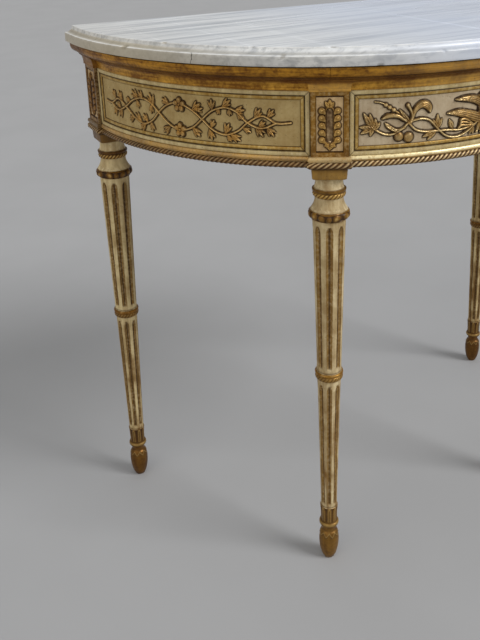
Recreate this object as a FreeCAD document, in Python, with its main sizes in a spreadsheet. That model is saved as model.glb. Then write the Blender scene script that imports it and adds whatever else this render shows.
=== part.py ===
# Demilune console table: a half-round marble slab on a painted and parcel-gilt frame with four fluted legs.
# The table stands on Z = 0, its straight back edge faces +Y and its round front faces -Y. Millimetres.
# Pieces are drawn about the centre of the round front, or about a leg's axis, with X pointing outwards.
import FreeCAD, Part
import Sketcher
import math
import os
import re

# Driving sizes, kept in the sheet and grouped by the piece that they belong to
SIZES = {
    # Whole table
    "table_height": 880,
    "cut_overrun": 6,
    "glue_line": 0.2,
    # Marble slab
    "slab_overhang": 54,
    "slab_back_return": 33,
    "slab_thickness": 25,
    "slab_band_height": 15,
    "slab_cove_depth": 13,
    "slab_ledge": 1.5,
    "slab_lip_height": 1.5,
    # Pads that the slab lies on
    "pad_thickness": 2,
    "pad_diameter": 26,
    # Posts and rails
    "leg_radius": 424,
    "post_width": 54,
    "die_stile": 8,
    "die_rail": 6.5,
    "die_recess_depth": 2,
    "ground_setout": 19,
    "rail_thickness": 24,
    "apron_height": 149,
    "back_rail_thickness": 22,
    "back_rail_inset": 3,
    # Joints of the frame
    "tenon_thickness": 10,
    "tenon_length": 20,
    "tenon_shoulder": 22,
    "joint_clearance": 0.2,
    "peg_diameter": 7,
    "peg_length": 38,
    "peg_inset": 10,
    "peg_shoulder": 45,
    # Bearers
    "bearer_width": 50,
    "bearer_thickness": 24,
    "bearer_lap_height": 12,
    "bearer_lap_length": 12,
    # Glue blocks and their screws
    "block_width": 20,
    "block_length": 30,
    "block_height": 100,
    "screw_diameter": 5,
    "screw_length": 42,
    "screw_head_diameter": 9,
    "screw_head_height": 3,
    # Turned leg, from the floor up
    "foot_flat_diameter": 16,
    "foot_diameter": 33,
    "foot_belly_height": 38,
    "foot_height": 57,
    "foot_neck_diameter": 24,
    "foot_neck_height": 10,
    "low_ring_diameter": 33,
    "low_ring_height": 9,
    "collar_diameter": 29.5,
    "collar_height": 30,
    "lower_shaft_foot_diameter": 26.5,
    "lower_shaft_head_diameter": 37.5,
    "mid_ring_level": 357.5,
    "mid_ring_diameter": 45,
    "mid_ring_height": 15,
    "upper_shaft_foot_diameter": 38.5,
    "upper_shaft_head_diameter": 50,
    "leaf_ring_diameter": 64,
    "leaf_ring_height": 14,
    "leaf_ring_head_diameter": 57,
    "low_cove_diameter": 44.5,
    "low_cove_height": 21,
    "rope_ring_diameter": 51,
    "rope_ring_root_diameter": 43,
    "rope_ring_height": 13,
    "top_cove_height": 18,
    "top_cove_head_diameter": 43,
    "neck_width": 52.5,
    "neck_height": 17,
    # Flutes of the leg
    "flute_margin": 8,
    "upper_flute_head_width": 10.5,
    "upper_flute_foot_width": 8,
    "lower_flute_head_width": 8,
    "lower_flute_foot_width": 6,
    # Cornice
    "ovolo_height": 19,
    "ovolo_setout": 49,
    "ovolo_fillet_height": 2.5,
    "ovolo_foot_setout": 36,
    "cove_height": 18,
    "cove_fillet_height": 1.5,
    "cove_projection": 12,
    "cove_foot_projection": 2.5,
    "cap_projection": 8,
    "cap_foot_projection": 1.5,
    # Base band and rope bead
    "band_height": 8,
    "band_projection": 6,
    "band_head_projection": 3,
    "band_return_projection": 4,
    "band_return_head_projection": 1.5,
    "rope_diameter": 10,
    "rope_seat": 1.5,
    "rope_return_seat": 0.5,
    # Panel frames
    "panel_end_gap": 0.5,
    "frame_bead_width": 7,
    "frame_bead_relief": 4,
    "frame_step_width": 6.5,
    "frame_step_relief": 2,
    # Applied carving
    "carving_relief": 4,
    "stem_width": 3.5,
    "leaf_length": 15,
    "leaf_width": 6.5,
    "petal_diameter": 7.5,
    "petal_circle_diameter": 10,
    "bird_height": 46,
    "bird_width": 20,
    "wing_length": 44,
    "wing_width": 15,
    # Medallions
    "medallion_relief": 3,
    "lobe_diameter": 10,
    "medallion_tip_diameter": 13,
}

# Spacings as shares of the piece that they sit in: bearers of the leg circle, medallion parts of the sunk die
BEARER_SPACING_SHARE = 0.66
LOBE_COLUMN_SHARE = 0.526
LOBE_SPACING_SHARE = 0.115
TIP_SPACING_SHARE = 0.756

# Sizes worked out from the driving ones
WORKED_OUT = {
    "slab_radius": "leg_radius + slab_overhang",
    "ground_radius": "leg_radius + ground_setout",
    "ovolo_radius": "leg_radius + ovolo_setout",
    "ovolo_foot_radius": "leg_radius + ovolo_foot_setout",
    "bearer_spacing": f"leg_radius*{BEARER_SPACING_SHARE}",
    "die_recess_width": "post_width - die_stile*2",
    "die_recess_height": "frieze_height - die_rail*2",
    "lobe_column_spacing": f"die_recess_width*{LOBE_COLUMN_SHARE}",
    "lobe_spacing": f"die_recess_height*{LOBE_SPACING_SHARE}",
    "medallion_tip_spacing": f"die_recess_height*{TIP_SPACING_SHARE}",
    "arc_offset": "(slab_radius - slab_back_return)/2",
    "slab_bottom": "table_height - slab_thickness",
    "slab_ledge_level": "slab_bottom + slab_band_height",
    "frame_top": "slab_bottom - pad_thickness",
    "apron_bottom": "frame_top - apron_height",
    "rail_inner_radius": "ground_radius - rail_thickness",
    "tenon_radius": "ground_radius - rail_thickness/2",
    "tenon_height": "apron_height - tenon_shoulder*2",
    "tenon_bottom": "apron_bottom + tenon_shoulder",
    "upper_peg_level": "frame_top - peg_shoulder",
    "lower_peg_level": "apron_bottom + peg_shoulder",
    "apron_middle": "apron_bottom + apron_height/2",
    "back_rail_face": "post_width/2 - back_rail_inset - back_rail_thickness",
    "back_rail_middle": "post_width/2 - back_rail_inset - back_rail_thickness/2",
    "peg_hole_diameter": "peg_diameter + glue_line",
    "screw_hole_diameter": "screw_diameter + glue_line",
    "block_middle": "(block_width - post_width)/2",
    "foot_neck_top": "foot_height + foot_neck_height",
    "low_ring_top": "foot_neck_top + low_ring_height",
    "collar_top": "low_ring_top + collar_height",
    "mid_ring_bottom": "mid_ring_level - mid_ring_height/2",
    "mid_ring_top": "mid_ring_level + mid_ring_height/2",
    "neck_bottom": "apron_bottom - neck_height",
    "rope_ring_top": "neck_bottom - top_cove_height",
    "rope_ring_bottom": "rope_ring_top - rope_ring_height",
    "low_cove_bottom": "rope_ring_bottom - low_cove_height",
    "leaf_ring_bottom": "low_cove_bottom - leaf_ring_height",
    "ovolo_bottom": "frame_top - ovolo_height",
    "frieze_top": "ovolo_bottom - cove_height",
    "rope_top": "apron_bottom + rope_diameter",
    "band_top": "rope_top + band_height",
    "frieze_middle": "(frieze_top + band_top)/2",
    "frieze_height": "frieze_top - band_top",
    "frame_border": "frame_bead_width + frame_step_width",
}

# Four legs divide the half circle into three bays
BAY_STEP = 60
LEG_TURNS = {"rear_left": -180, "front_left": -120, "front_right": -60, "rear_right": 0}
BAY_TURNS = {"left": -150, "center": -90, "right": -30}
BAY_LEGS = {
    "left": ("rear_left", "front_left"),
    "center": ("front_left", "front_right"),
    "right": ("front_right", "rear_right"),
}
# The side of each rear leg that faces the wall, along its own Y axis
WALL_SIDES = {"rear_left": -1, "rear_right": 1}
FLUTE_COUNT = 8
LOBE_ROWS = 5
PETAL_COUNT = 5

# Height of a curved edge over its chord, as a share of the chord
QUARTER_BULGE_SHARE = (math.sqrt(2) - 1) / 2
HALF_BULGE_SHARE = 0.5
SOFT_BULGE_SHARE = 0.12

# Stations along half a panel where the two stems cross, join and end, as shares of its half length
SIDE_STATION_SHARES = (0.22, 0.63, 0.86, 0.97)
CENTER_STATION_SHARES = (0.14, 0.42, 0.68, 0.94)
# Slope of the stems where they cross, in degrees
STEM_SLOPE = 55
# Where leaves spring from each bow of a stem, as shares of its chord, and how far they lean off it in degrees
LEAF_STATION_SHARES = (0.25, 0.6)
LEAF_LEANS = (55, 125)
# Headings of the bird's wing feathers on its right side, in degrees
WING_HEADINGS = (20, 40)

Vector = FreeCAD.Vector
doc = FreeCAD.newDocument("demilune_table")
sheet = doc.addObject("Spreadsheet::Sheet", "Sizes")
for row, (word, number) in enumerate(SIZES.items(), start=1):
    sheet.set(f"A{row}", word)
    sheet.set(f"B{row}", str(number))
    sheet.setAlias(f"B{row}", word)
doc.recompute()

NODES = {}
NAME_PATTERN = re.compile(r"[a-z][a-z_]*[a-z]")


def bound(formula):
    """A formula with each named size written as a cell of the sheet."""
    def swap(match):
        word = match.group(0)
        if word in WORKED_OUT:
            return "(" + bound(WORKED_OUT[word]) + ")"
        return "Sizes." + word if word in SIZES else word
    return NAME_PATTERN.sub(swap, formula)


def size(formula):
    """The value of a formula in millimetres."""
    return float(sheet.evalExpression(bound(formula)))


def bind(item, **formulas):
    """Tie properties of an object to formulas of named sizes."""
    for name, formula in formulas.items():
        item.setExpression(name.replace("__", "."), bound(formula))


def keep(item, label):
    """List an object as a finished sub-part under its own label."""
    item.Label = label
    NODES[label] = item
    return item


class Place:
    """A standing axis at a distance from the centre of the round front, with X turned to point outwards."""

    def __init__(self, turn, distance="0"):
        self.turn = turn
        self.distance = distance

    def seat(self, item, across="0", along="0", up="0", tilt=None):
        """Put an object's origin at a point of this place; the tilt comes before the turn."""
        item.Placement.Rotation = FreeCAD.Rotation(Vector(0, 0, 1), self.turn) * (tilt or FreeCAD.Rotation())
        reach = f"({self.distance} + {across})"
        bind(
            item,
            Placement__Base__x=f"{reach}*cos({self.turn}) - ({along})*sin({self.turn})",
            Placement__Base__y=f"arc_offset + {reach}*sin({self.turn}) + ({along})*cos({self.turn})",
            Placement__Base__z=up,
        )
        return item

    def heading(self, across, along):
        """A direction of this place in the table's own frame."""
        return FreeCAD.Rotation(Vector(0, 0, 1), self.turn).multVec(Vector(across, along, 0))


BAYS = {name: Place(turn) for name, turn in BAY_TURNS.items()}
LEGS = {name: Place(turn, "leg_radius") for name, turn in LEG_TURNS.items()}
TABLE = Place(0)
OUTWARDS = FreeCAD.Rotation(Vector(0, 1, 0), 90)
SIDEWAYS = FreeCAD.Rotation(Vector(1, 0, 0), -90)
SIDEWAYS_BACK = FreeCAD.Rotation(Vector(1, 0, 0), 90)
PROFILE_PLANE = FreeCAD.Rotation(Vector(1, 0, 0), 90)
FRONT_PLANE = FreeCAD.Rotation(Vector(0, 1, 0), Vector(0, 0, 1), Vector(1, 0, 0))


def draw(sketch, corners):
    """Draw a closed outline; a corner's third item bends the edge after it, by a share or about a centre."""
    first = sketch.GeometryCount
    count = len(corners)
    followers = corners[1:] + corners[:1]
    edges = []
    starts = {}
    for index, (corner, follower) in enumerate(zip(corners, followers)):
        start = flat_point(*corner[:2])
        end = flat_point(*follower[:2])
        starts[first + index] = 1
        if len(corner) == 2:
            edges.append(Part.LineSegment(start, end))
            continue
        arc = Part.Arc(start, bend_point(start, end, corner[2]), end)
        edges.append(arc)
        curve = arc.toShape().Curve
        starts[first + index] = 1 if curve.Axis.z > 0 else 2
    sketch.addGeometry(edges, False)
    ties = []
    for index in range(count):
        edge = first + index
        after = first + (index + 1) % count
        ties.append(Sketcher.Constraint("Coincident", edge, 3 - starts[edge], after, starts[after]))
    sketch.addConstraint(ties)
    for index, (corner, follower) in enumerate(zip(corners, followers)):
        edge = first + index
        pin(sketch, edge, starts[edge], corner[0], corner[1])
        if len(corner) > 2:
            pin_center(sketch, edge, corner, follower)
    return sketch


def flat_point(across, up):
    """A point of a sketch from two formulas."""
    return Vector(size(across), size(up), 0)


def bend_point(start, end, bend):
    """The point halfway along a curved edge."""
    middle = (start + end) / 2
    chord = end - start
    if isinstance(bend, tuple):
        center = flat_point(*bend)
        return center + (middle - center).normalize() * (start - center).Length
    rise = size(bend) if isinstance(bend, str) else bend
    return middle + Vector(chord.y, -chord.x, 0) * rise


def pin_center(sketch, edge, corner, follower):
    """Tie the centre of a curved edge, across its chord where the chord is steep and up where it is flat."""
    bend = corner[2]
    run = f"(({follower[0]}) - ({corner[0]}))"
    rise = f"(({follower[1]}) - ({corner[1]}))"
    if isinstance(bend, tuple):
        across, up = bend
    else:
        set_back = f"(1/(8*({bend})) - ({bend})/2)"
        across = f"({corner[0]}) + {run}/2 - {set_back}*{rise}"
        up = f"({corner[1]}) + {rise}/2 + {set_back}*{run}"
    steep = abs(size(rise)) > abs(size(run))
    kind, formula, axis = ("DistanceX", across, -2) if steep else ("DistanceY", up, -1)
    pin_one(sketch, edge, 3, kind, formula, axis)


def pin(sketch, edge, end, across, up):
    """Tie a point of a sketch to two formulas, measured from the sketch's origin."""
    pin_one(sketch, edge, end, "DistanceX", across, -2)
    pin_one(sketch, edge, end, "DistanceY", up, -1)


def pin_one(sketch, edge, end, kind, formula, axis):
    """Tie one coordinate of a point to a formula, or to the axis where it is zero."""
    if formula == "0":
        sketch.addConstraint(Sketcher.Constraint("PointOnObject", edge, end, axis))
        return
    row = sketch.addConstraint(Sketcher.Constraint(kind, -1, 1, edge, end, size(formula)))
    sketch.setExpression(f"Constraints[{row}]", bound(formula))


def plane_sketch(place, name, corners, plane=PROFILE_PLANE, across="0"):
    """A sketch that stands at a place, in its profile plane or square to its outward axis."""
    sketch = doc.addObject("Sketcher::SketchObject", name)
    place.seat(sketch, across=across, tilt=plane)
    return draw(sketch, corners)


def body_sketch(body, name, role, lift, outlines):
    """A sketch on one of a body's own planes, lifted along the plane's normal."""
    sketch = body.newObject("Sketcher::SketchObject", name)
    plane = next(item for item in body.Origin.OriginFeatures if item.Role == role)
    sketch.AttachmentSupport = [(plane, "")]
    sketch.MapMode = "FlatFace"
    sketch.setExpression("AttachmentOffset.Base.z", bound(lift))
    for corners in outlines:
        draw(sketch, corners)
    return sketch


def rectangle(left, low, right, high):
    """The corners of an upright rectangle."""
    return [(left, low), (right, low), (right, high), (left, high)]


def box(place, name, low, extent):
    """A block at a place, from its lowest corner and its extent outwards, sideways and up."""
    item = doc.addObject("Part::Box", name)
    bind(item, Length=extent[0], Width=extent[1], Height=extent[2])
    return place.seat(item, *low)


def rod(place, name, diameter, length, spot, tilt=None):
    """A cylinder at a place, upright or tilted."""
    item = doc.addObject("Part::Cylinder", name)
    bind(item, Radius=f"{diameter}/2", Height=length)
    return place.seat(item, *spot, tilt=tilt)


def drum(name, radius, low, height):
    """An upright cylinder about the centre of the round front."""
    return rod(TABLE, name, f"({radius})*2", height, ("0", "0", low))


def cut(name, base, *tools):
    """A solid with tools taken out of it."""
    for index, tool in enumerate(tools):
        last = index == len(tools) - 1
        result = doc.addObject("Part::Cut", name if last else f"{name}_cut_{index}")
        result.Base = base
        result.Tool = tool
        base = result
    return base


def fuse(name, *shapes):
    """Several solids joined into one."""
    result = doc.addObject("Part::MultiFuse", name)
    result.Shapes = list(shapes)
    result.Refine = True
    return result


def common(name, first, second):
    """What two solids share."""
    result = doc.addObject("Part::Common", name)
    result.Base = first
    result.Tool = second
    return result


def group(name, items):
    """Separate solids in one sub-part."""
    result = doc.addObject("Part::Compound", name)
    result.Links = items
    return result


def extrude(name, sketch, heading, length, both_ways=False):
    """A sketch carried straight along a heading."""
    result = doc.addObject("Part::Extrusion", name)
    result.Base = sketch
    result.DirMode = "Custom"
    result.Dir = heading
    result.Solid = True
    result.Symmetric = both_ways
    bind(result, LengthFwd=length)
    return result


def revolve(name, sketch, angle):
    """A sketch carried round the centre of the front, half of the angle to each side."""
    result = doc.addObject("Part::Revolution", name)
    result.Source = sketch
    result.Axis = Vector(0, 0, 1)
    result.Solid = True
    result.Symmetric = True
    bind(result, Base__y="arc_offset", Angle=angle)
    return result


def feature(body, kind, name, sketch, **formulas):
    """A feature of a body that reads a sketch."""
    item = body.newObject(f"PartDesign::{kind}", name)
    item.Profile = sketch
    sketch.Visibility = False
    bind(item, **formulas)
    return item


def pocket(body, name, sketch, depth, forwards=False):
    """A cut into a body, against the sketch's normal unless it goes forwards."""
    item = feature(body, "Pocket", name, sketch, Length=depth)
    item.Reversed = forwards
    return item


# Marble slab: a half disc with a cavetto edge, and a short straight return to the wall

def slab_edge(reach):
    """The moulded edge from the underside to the top, at a formula for its outermost reach."""
    inner = f"{reach} - slab_cove_depth"
    return [
        (reach, "slab_bottom"),
        (reach, "slab_ledge_level"),
        (f"{reach} - slab_ledge", "slab_ledge_level", -QUARTER_BULGE_SHARE),
        (inner, "table_height - slab_lip_height"),
        (inner, "table_height"),
    ]


def make_slab():
    """The slab, turned about the centre of its round front and drawn out to its back edge."""
    body = doc.addObject("PartDesign::Body", "marble_top")
    TABLE.seat(body)
    body.Placement.Rotation = FreeCAD.Rotation(Vector(0, 0, 1), -90)
    edge = slab_edge("slab_radius")
    half = [("0", "slab_bottom")] + edge + [("0", "table_height")]
    turned = body_sketch(body, "slab_turned_outline", "XZ_Plane", "0", [half])
    round_front = feature(body, "Revolution", "slab_round_front", turned)
    round_front.ReferenceAxis = (turned, ["V_Axis"])
    round_front.Angle = 180
    round_front.Midplane = True
    mirrored = [mirror_corner(edge, index) for index in reversed(range(len(edge)))]
    whole = body_sketch(body, "slab_return_outline", "YZ_Plane", "0", [edge + mirrored])
    returned = feature(body, "Pad", "slab_return", whole, Length="slab_back_return")
    returned.Reversed = True
    keep(body, "marble_top")


def mirror_corner(edge, index):
    """A corner of an edge on the other side of the axis, with the bend that leads back down."""
    across, up = edge[index][:2]
    bend = edge[index - 1][2:] if index else ()
    return (f"-({across})", up) + bend


# Legs

def leg_outline():
    """Half of the turned leg, from the flat of its foot to the underside of the square neck."""
    return [
        ("0", "0"),
        ("foot_flat_diameter/2", "0", SOFT_BULGE_SHARE),
        ("foot_diameter/2", "foot_belly_height", SOFT_BULGE_SHARE),
        ("foot_neck_diameter/2", "foot_height", -SOFT_BULGE_SHARE),
        ("foot_neck_diameter/2", "foot_neck_top",
         "(low_ring_diameter - foot_neck_diameter)/2/low_ring_height"),
        ("foot_neck_diameter/2", "low_ring_top"),
        ("collar_diameter/2", "low_ring_top"),
        ("collar_diameter/2", "collar_top"),
        ("lower_shaft_foot_diameter/2", "collar_top"),
        ("lower_shaft_head_diameter/2", "mid_ring_bottom",
         "(mid_ring_diameter - upper_shaft_foot_diameter)/2/mid_ring_height"),
        ("upper_shaft_foot_diameter/2", "mid_ring_top"),
        ("upper_shaft_head_diameter/2", "leaf_ring_bottom",
         "(leaf_ring_diameter - (upper_shaft_head_diameter + leaf_ring_head_diameter)/2)/2/leaf_ring_height"),
        ("leaf_ring_head_diameter/2", "low_cove_bottom",
         "(low_cove_diameter - (leaf_ring_head_diameter + rope_ring_root_diameter)/2)/2/low_cove_height"),
        ("rope_ring_root_diameter/2", "rope_ring_bottom",
         "(rope_ring_diameter - rope_ring_root_diameter)/2/rope_ring_height"),
        ("rope_ring_root_diameter/2", "rope_ring_top", -SOFT_BULGE_SHARE),
        ("top_cove_head_diameter/2", "neck_bottom"),
        ("0", "neck_bottom"),
    ]


def cut_flutes(body, name, head, foot):
    """A ring of tapering round-ended flutes; each is a groove turned about a line along the shaft."""
    head_reach, head_level, head_width = head
    foot_reach, foot_level, foot_width = foot
    sketch = body_sketch(body, f"{name}_outline", "XZ_Plane", "0", [[
        (head_reach, head_level, QUARTER_BULGE_SHARE),
        (f"{head_reach} - {head_width}/2", f"{head_level} - {head_width}/2"),
        (f"{foot_reach} - {foot_width}/2", f"{foot_level} + {foot_width}/2", QUARTER_BULGE_SHARE),
        (foot_reach, foot_level),
    ]])
    axis_line = Part.LineSegment(flat_point(head_reach, head_level), flat_point(foot_reach, foot_level))
    axis = sketch.addGeometry(axis_line, True)
    pin(sketch, axis, 1, head_reach, head_level)
    pin(sketch, axis, 2, foot_reach, foot_level)
    groove = feature(body, "Groove", f"{name}_groove", sketch)
    groove.ReferenceAxis = (sketch, ["Axis0"])
    groove.Angle = 360
    doc.recompute()
    ring = body.newObject("PartDesign::PolarPattern", f"{name}_ring")
    ring.Originals = [groove]
    ring.Axis = (next(item for item in body.Origin.OriginFeatures if item.Role == "Z_Axis"), [""])
    ring.Angle = 360
    ring.Occurrences = FLUTE_COUNT
    body.Tip = ring


def cornice_trim(wall_side):
    """The part of a post's head that the cornice passes in front of, seen from above."""
    reach = "post_width/2 + cut_overrun"
    ground = "ground_radius - leg_radius"

    def arc_across(along):
        return f"sqrt(ground_radius^2 - ({along})^2) - leg_radius"

    if wall_side is None:
        curve = [(arc_across(reach), f"-({reach})", ("-leg_radius", "0")), (arc_across(reach), reach)]
        return curve + [(reach, reach), (reach, f"-({reach})")]
    front = reach if wall_side < 0 else f"-({reach})"
    wall = f"-({reach})" if wall_side < 0 else reach
    curve = [(ground, wall), (ground, "0", ("-leg_radius", "0")), (arc_across(reach), front)]
    return curve + [(reach, front), (reach, wall)]


def side_formula(side, formula):
    """A distance along a leg's Y axis, on one side or the other."""
    return formula if side > 0 else f"-({formula})"


def mortises(rail_sides, wall_side):
    """The mouths of a post's mortises, seen from above."""
    gap = "joint_clearance"
    near = f"tenon_radius - tenon_thickness/2 - leg_radius - {gap}"
    far = f"tenon_radius + tenon_thickness/2 - leg_radius + {gap}"
    bottom = f"post_width/2 - tenon_length - {gap}"
    mouth = "post_width/2 + cut_overrun"
    outlines = [rectangle(near, side_formula(side, bottom), far, side_formula(side, mouth))
                for side in rail_sides]
    if wall_side is not None:
        sides = [f"back_rail_middle {sign} (tenon_thickness/2 + {gap})" for sign in ("-", "+")]
        low, high = (side_formula(wall_side, side) for side in sides)
        outlines.append(rectangle(f"-({mouth})", low, f"-({bottom})", high))
    return outlines


def hole_rings(sketch, spots, diameter):
    """Round holes of one diameter, each tied to its place."""
    for across, up in spots:
        circle = Part.Circle(flat_point(across, up), Vector(0, 0, 1), size(diameter) / 2)
        ring = sketch.addGeometry(circle)
        row = sketch.addConstraint(Sketcher.Constraint("Diameter", ring, size(diameter)))
        sketch.setExpression(f"Constraints[{row}]", bound(diameter))
        pin(sketch, ring, 3, across, up)


PEG_LEVELS = ("lower_peg_level", "upper_peg_level")
PEG_HOLE_DEPTH = "peg_length + glue_line"
SCREW_HOLE_DEPTH = "screw_length - block_length + glue_line"


def make_leg(name, place):
    """One leg: turned and fluted below, a square neck and post with joints and a sunk die panel above."""
    wall_side = WALL_SIDES.get(name)
    rail_sides = (-1, 1) if wall_side is None else (-wall_side,)
    half_post = "post_width/2"
    body = doc.addObject("PartDesign::Body", f"leg_{name}")
    place.seat(body)
    turned = body_sketch(body, "turned_outline", "XZ_Plane", "0", [leg_outline()])
    turning = feature(body, "Revolution", "turning", turned)
    turning.ReferenceAxis = (turned, ["V_Axis"])
    turning.Angle = 360
    half_neck = "neck_width/2"
    block = rectangle(f"-{half_neck}", f"-{half_neck}", half_neck, half_neck)
    neck = body_sketch(body, "neck_outline", "XY_Plane", "neck_bottom", [block])
    feature(body, "Pad", "neck", neck, Length="neck_height")
    square = rectangle(f"-{half_post}", f"-{half_post}", half_post, half_post)
    post = body_sketch(body, "post_outline", "XY_Plane", "apron_bottom", [square])
    feature(body, "Pad", "post", post, Length="apron_height")
    trim = body_sketch(body, "cornice_trim_outline", "XY_Plane", "frame_top", [cornice_trim(wall_side)])
    pocket(body, "cornice_trim", trim, "ovolo_height")
    mortise_top = "tenon_bottom + tenon_height + joint_clearance"
    joints = body_sketch(body, "mortise_outline", "XY_Plane", mortise_top, mortises(rail_sides, wall_side))
    pocket(body, "mortises", joints, "tenon_height + joint_clearance*2")
    recess = rectangle("-die_recess_width/2", "frieze_middle - die_recess_height/2",
                       "die_recess_width/2", "frieze_middle + die_recess_height/2")
    die = body_sketch(body, "die_outline", "YZ_Plane", half_post, [recess])
    pocket(body, "die_recess", die, "die_recess_depth")
    peg_spots = [(side_formula(side, f"{half_post} - peg_inset"), level)
                 for side in rail_sides for level in PEG_LEVELS]
    pegs = body_sketch(body, "peg_outline", "YZ_Plane", f"-{half_post}", [])
    hole_rings(pegs, peg_spots, "peg_hole_diameter")
    pocket(body, "peg_holes", pegs, PEG_HOLE_DEPTH, forwards=True)
    for side in rail_sides:
        screws = body_sketch(body, "screw_outline", "XZ_Plane", side_formula(-side, half_post), [])
        hole_rings(screws, [("block_middle", "apron_middle")], "screw_hole_diameter")
        pocket(body, "screw_hole", screws, SCREW_HOLE_DEPTH, forwards=side > 0)
    if wall_side is not None:
        wall_face = side_formula(-wall_side, half_post)
        back_pegs = body_sketch(body, "back_peg_outline", "XZ_Plane", wall_face, [])
        back_spots = [(f"peg_inset - {half_post}", level) for level in PEG_LEVELS]
        hole_rings(back_pegs, back_spots, "peg_hole_diameter")
        pocket(body, "back_peg_holes", back_pegs, PEG_HOLE_DEPTH, forwards=wall_side > 0)
    cut_flutes(body, "upper_flutes",
               ("upper_shaft_head_diameter/2", "leaf_ring_bottom - flute_margin", "upper_flute_head_width"),
               ("upper_shaft_foot_diameter/2", "mid_ring_top + flute_margin", "upper_flute_foot_width"))
    cut_flutes(body, "lower_flutes",
               ("lower_shaft_head_diameter/2", "mid_ring_bottom - flute_margin", "lower_flute_head_width"),
               ("lower_shaft_foot_diameter/2", "collar_top + flute_margin", "lower_flute_foot_width"))
    keep(body, f"leg_{name}")


# Rails, bearers and what fastens them

# Foot and height of a tool that passes clear through the apron
CLEAR_SPAN = ("apron_bottom - cut_overrun", "apron_height + cut_overrun*2")


def post_block(name, place, low, height):
    """A square block that fills a post, to cut other pieces back to it."""
    return box(place, name, ("-post_width/2", "-post_width/2", low), ("post_width", "post_width", height))


def peg(place, name, side, level, diameter, length):
    """A peg through a rail's tenon, driven outwards from the inside of the post."""
    spot = ("-post_width/2", side_formula(side, "post_width/2 - peg_inset"), level)
    return rod(place, name, diameter, length, spot, OUTWARDS)


def tenon(place, name, side):
    """A rail's tenon at a post, with its root inside the rail."""
    depth = "tenon_length + cut_overrun"
    start = "post_width/2 - tenon_length" if side > 0 else "-(post_width/2 + cut_overrun)"
    low = ("tenon_radius - tenon_thickness/2 - leg_radius", start, "tenon_bottom")
    return box(place, name, low, ("tenon_thickness", depth, "tenon_height"))


def make_rail(bay):
    """A curved apron rail between two posts, with a tenon at each end."""
    name = f"apron_{bay}"
    outer = doc.addObject("Part::Cylinder", f"{name}_outer")
    bind(outer, Radius="ground_radius", Height="apron_height")
    outer.Angle = BAY_STEP
    Place(BAY_TURNS[bay] - BAY_STEP / 2).seat(outer, up="apron_bottom")
    inner = drum(f"{name}_inner", "rail_inner_radius", *CLEAR_SPAN)
    posts = [post_block(f"{name}_{leg}_post", LEGS[leg], *CLEAR_SPAN) for leg in BAY_LEGS[bay]]
    shell = cut(f"{name}_shell", outer, inner, *posts)
    ends = list(zip(BAY_LEGS[bay], (1, -1)))
    tenons = [tenon(LEGS[leg], f"{name}_{leg}_tenon", side) for leg, side in ends]
    blank = fuse(f"{name}_blank", shell, *tenons)
    holes = [peg(LEGS[leg], f"{name}_{leg}_hole", side, level, "peg_hole_diameter", PEG_HOLE_DEPTH)
             for leg, side in ends for level in PEG_LEVELS]
    notches = [bearer_notch(f"{name}_notch", side) for side in (-1, 1)] if bay == "center" else []
    keep(cut(name, blank, *holes, *notches), name)


BEARER_SIDES = {"left": -1, "right": 1}
# Where pads lie along a bearer, as shares of the way from the centre of the front to the middle rail
PAD_STATION_SHARES = {"rear": 1 / 4, "front": 3 / 4}
# How far a pad on a post sits inside the post's axis, as a share of the post's width
PAD_INSET_SHARE = 1 / 8


def bearer_layer(name, side, low, height, front_radius, back_reach, widen="0"):
    """A layer of a bearer: a strip from the back rail to a circle inside the middle rail."""
    middle = side_formula(side, "bearer_spacing/2")
    low_corner = (f"{middle} - bearer_width/2 - {widen}", "-slab_radius", low)
    extent = (f"bearer_width + {widen}*2", f"slab_radius + {back_reach}", height)
    strip = box(TABLE, f"{name}_strip", low_corner, extent)
    return common(name, strip, drum(f"{name}_round", front_radius, low, height))


LAP_RADIUS = "rail_inner_radius + bearer_lap_length"
LAP_BOTTOM = "frame_top - bearer_lap_height"


def bearer_notch(name, side):
    """The housing for a bearer's lap in the top edge of the middle rail and the back rail."""
    return bearer_layer(name, side, LAP_BOTTOM, "bearer_lap_height + cut_overrun", LAP_RADIUS,
                        "back_rail_face + bearer_lap_length", "joint_clearance")


def make_bearer(name, side):
    """A bearer with a lapped tongue at each end."""
    tongue = bearer_layer(f"bearer_{name}_tongue", side, LAP_BOTTOM, "bearer_lap_height",
                          f"{LAP_RADIUS} - joint_clearance",
                          "back_rail_face + bearer_lap_length - joint_clearance")
    under = bearer_layer(f"bearer_{name}_under", side, "frame_top - bearer_thickness",
                         "bearer_thickness - bearer_lap_height", "rail_inner_radius - joint_clearance",
                         "back_rail_face - joint_clearance")
    keep(fuse(f"bearer_{name}", tongue, under), f"bearer_{name}")


def make_back_rail():
    """The straight rail along the wall, tenoned into the two rear posts."""
    reach = "leg_radius - post_width/2"
    bar = box(TABLE, "back_rail_bar", (f"-({reach})", "back_rail_face", "apron_bottom"),
              (f"({reach})*2", "back_rail_thickness", "apron_height"))
    span = f"{reach} + tenon_length"
    tongue_low = (f"-({span})", "back_rail_middle - tenon_thickness/2", "tenon_bottom")
    tongue = box(TABLE, "back_rail_tenons", tongue_low, (f"({span})*2", "tenon_thickness", "tenon_height"))
    blank = fuse("back_rail_blank", bar, tongue)
    holes = [back_peg(leg, f"back_rail_{leg}_hole", level, "peg_hole_diameter", PEG_HOLE_DEPTH)
             for leg in WALL_SIDES for level in PEG_LEVELS]
    notches = [bearer_notch("back_rail_notch", side) for side in BEARER_SIDES.values()]
    keep(cut("back_rail", blank, *holes, *notches), "back_rail")


def back_peg(leg, name, level, diameter, length):
    """A peg through the back rail's tenon, driven from the wall side of a rear post."""
    side = WALL_SIDES[leg]
    spot = ("peg_inset - post_width/2", side_formula(side, "post_width/2"), level)
    return rod(LEGS[leg], name, diameter, length, spot, SIDEWAYS_BACK if side > 0 else SIDEWAYS)


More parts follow.
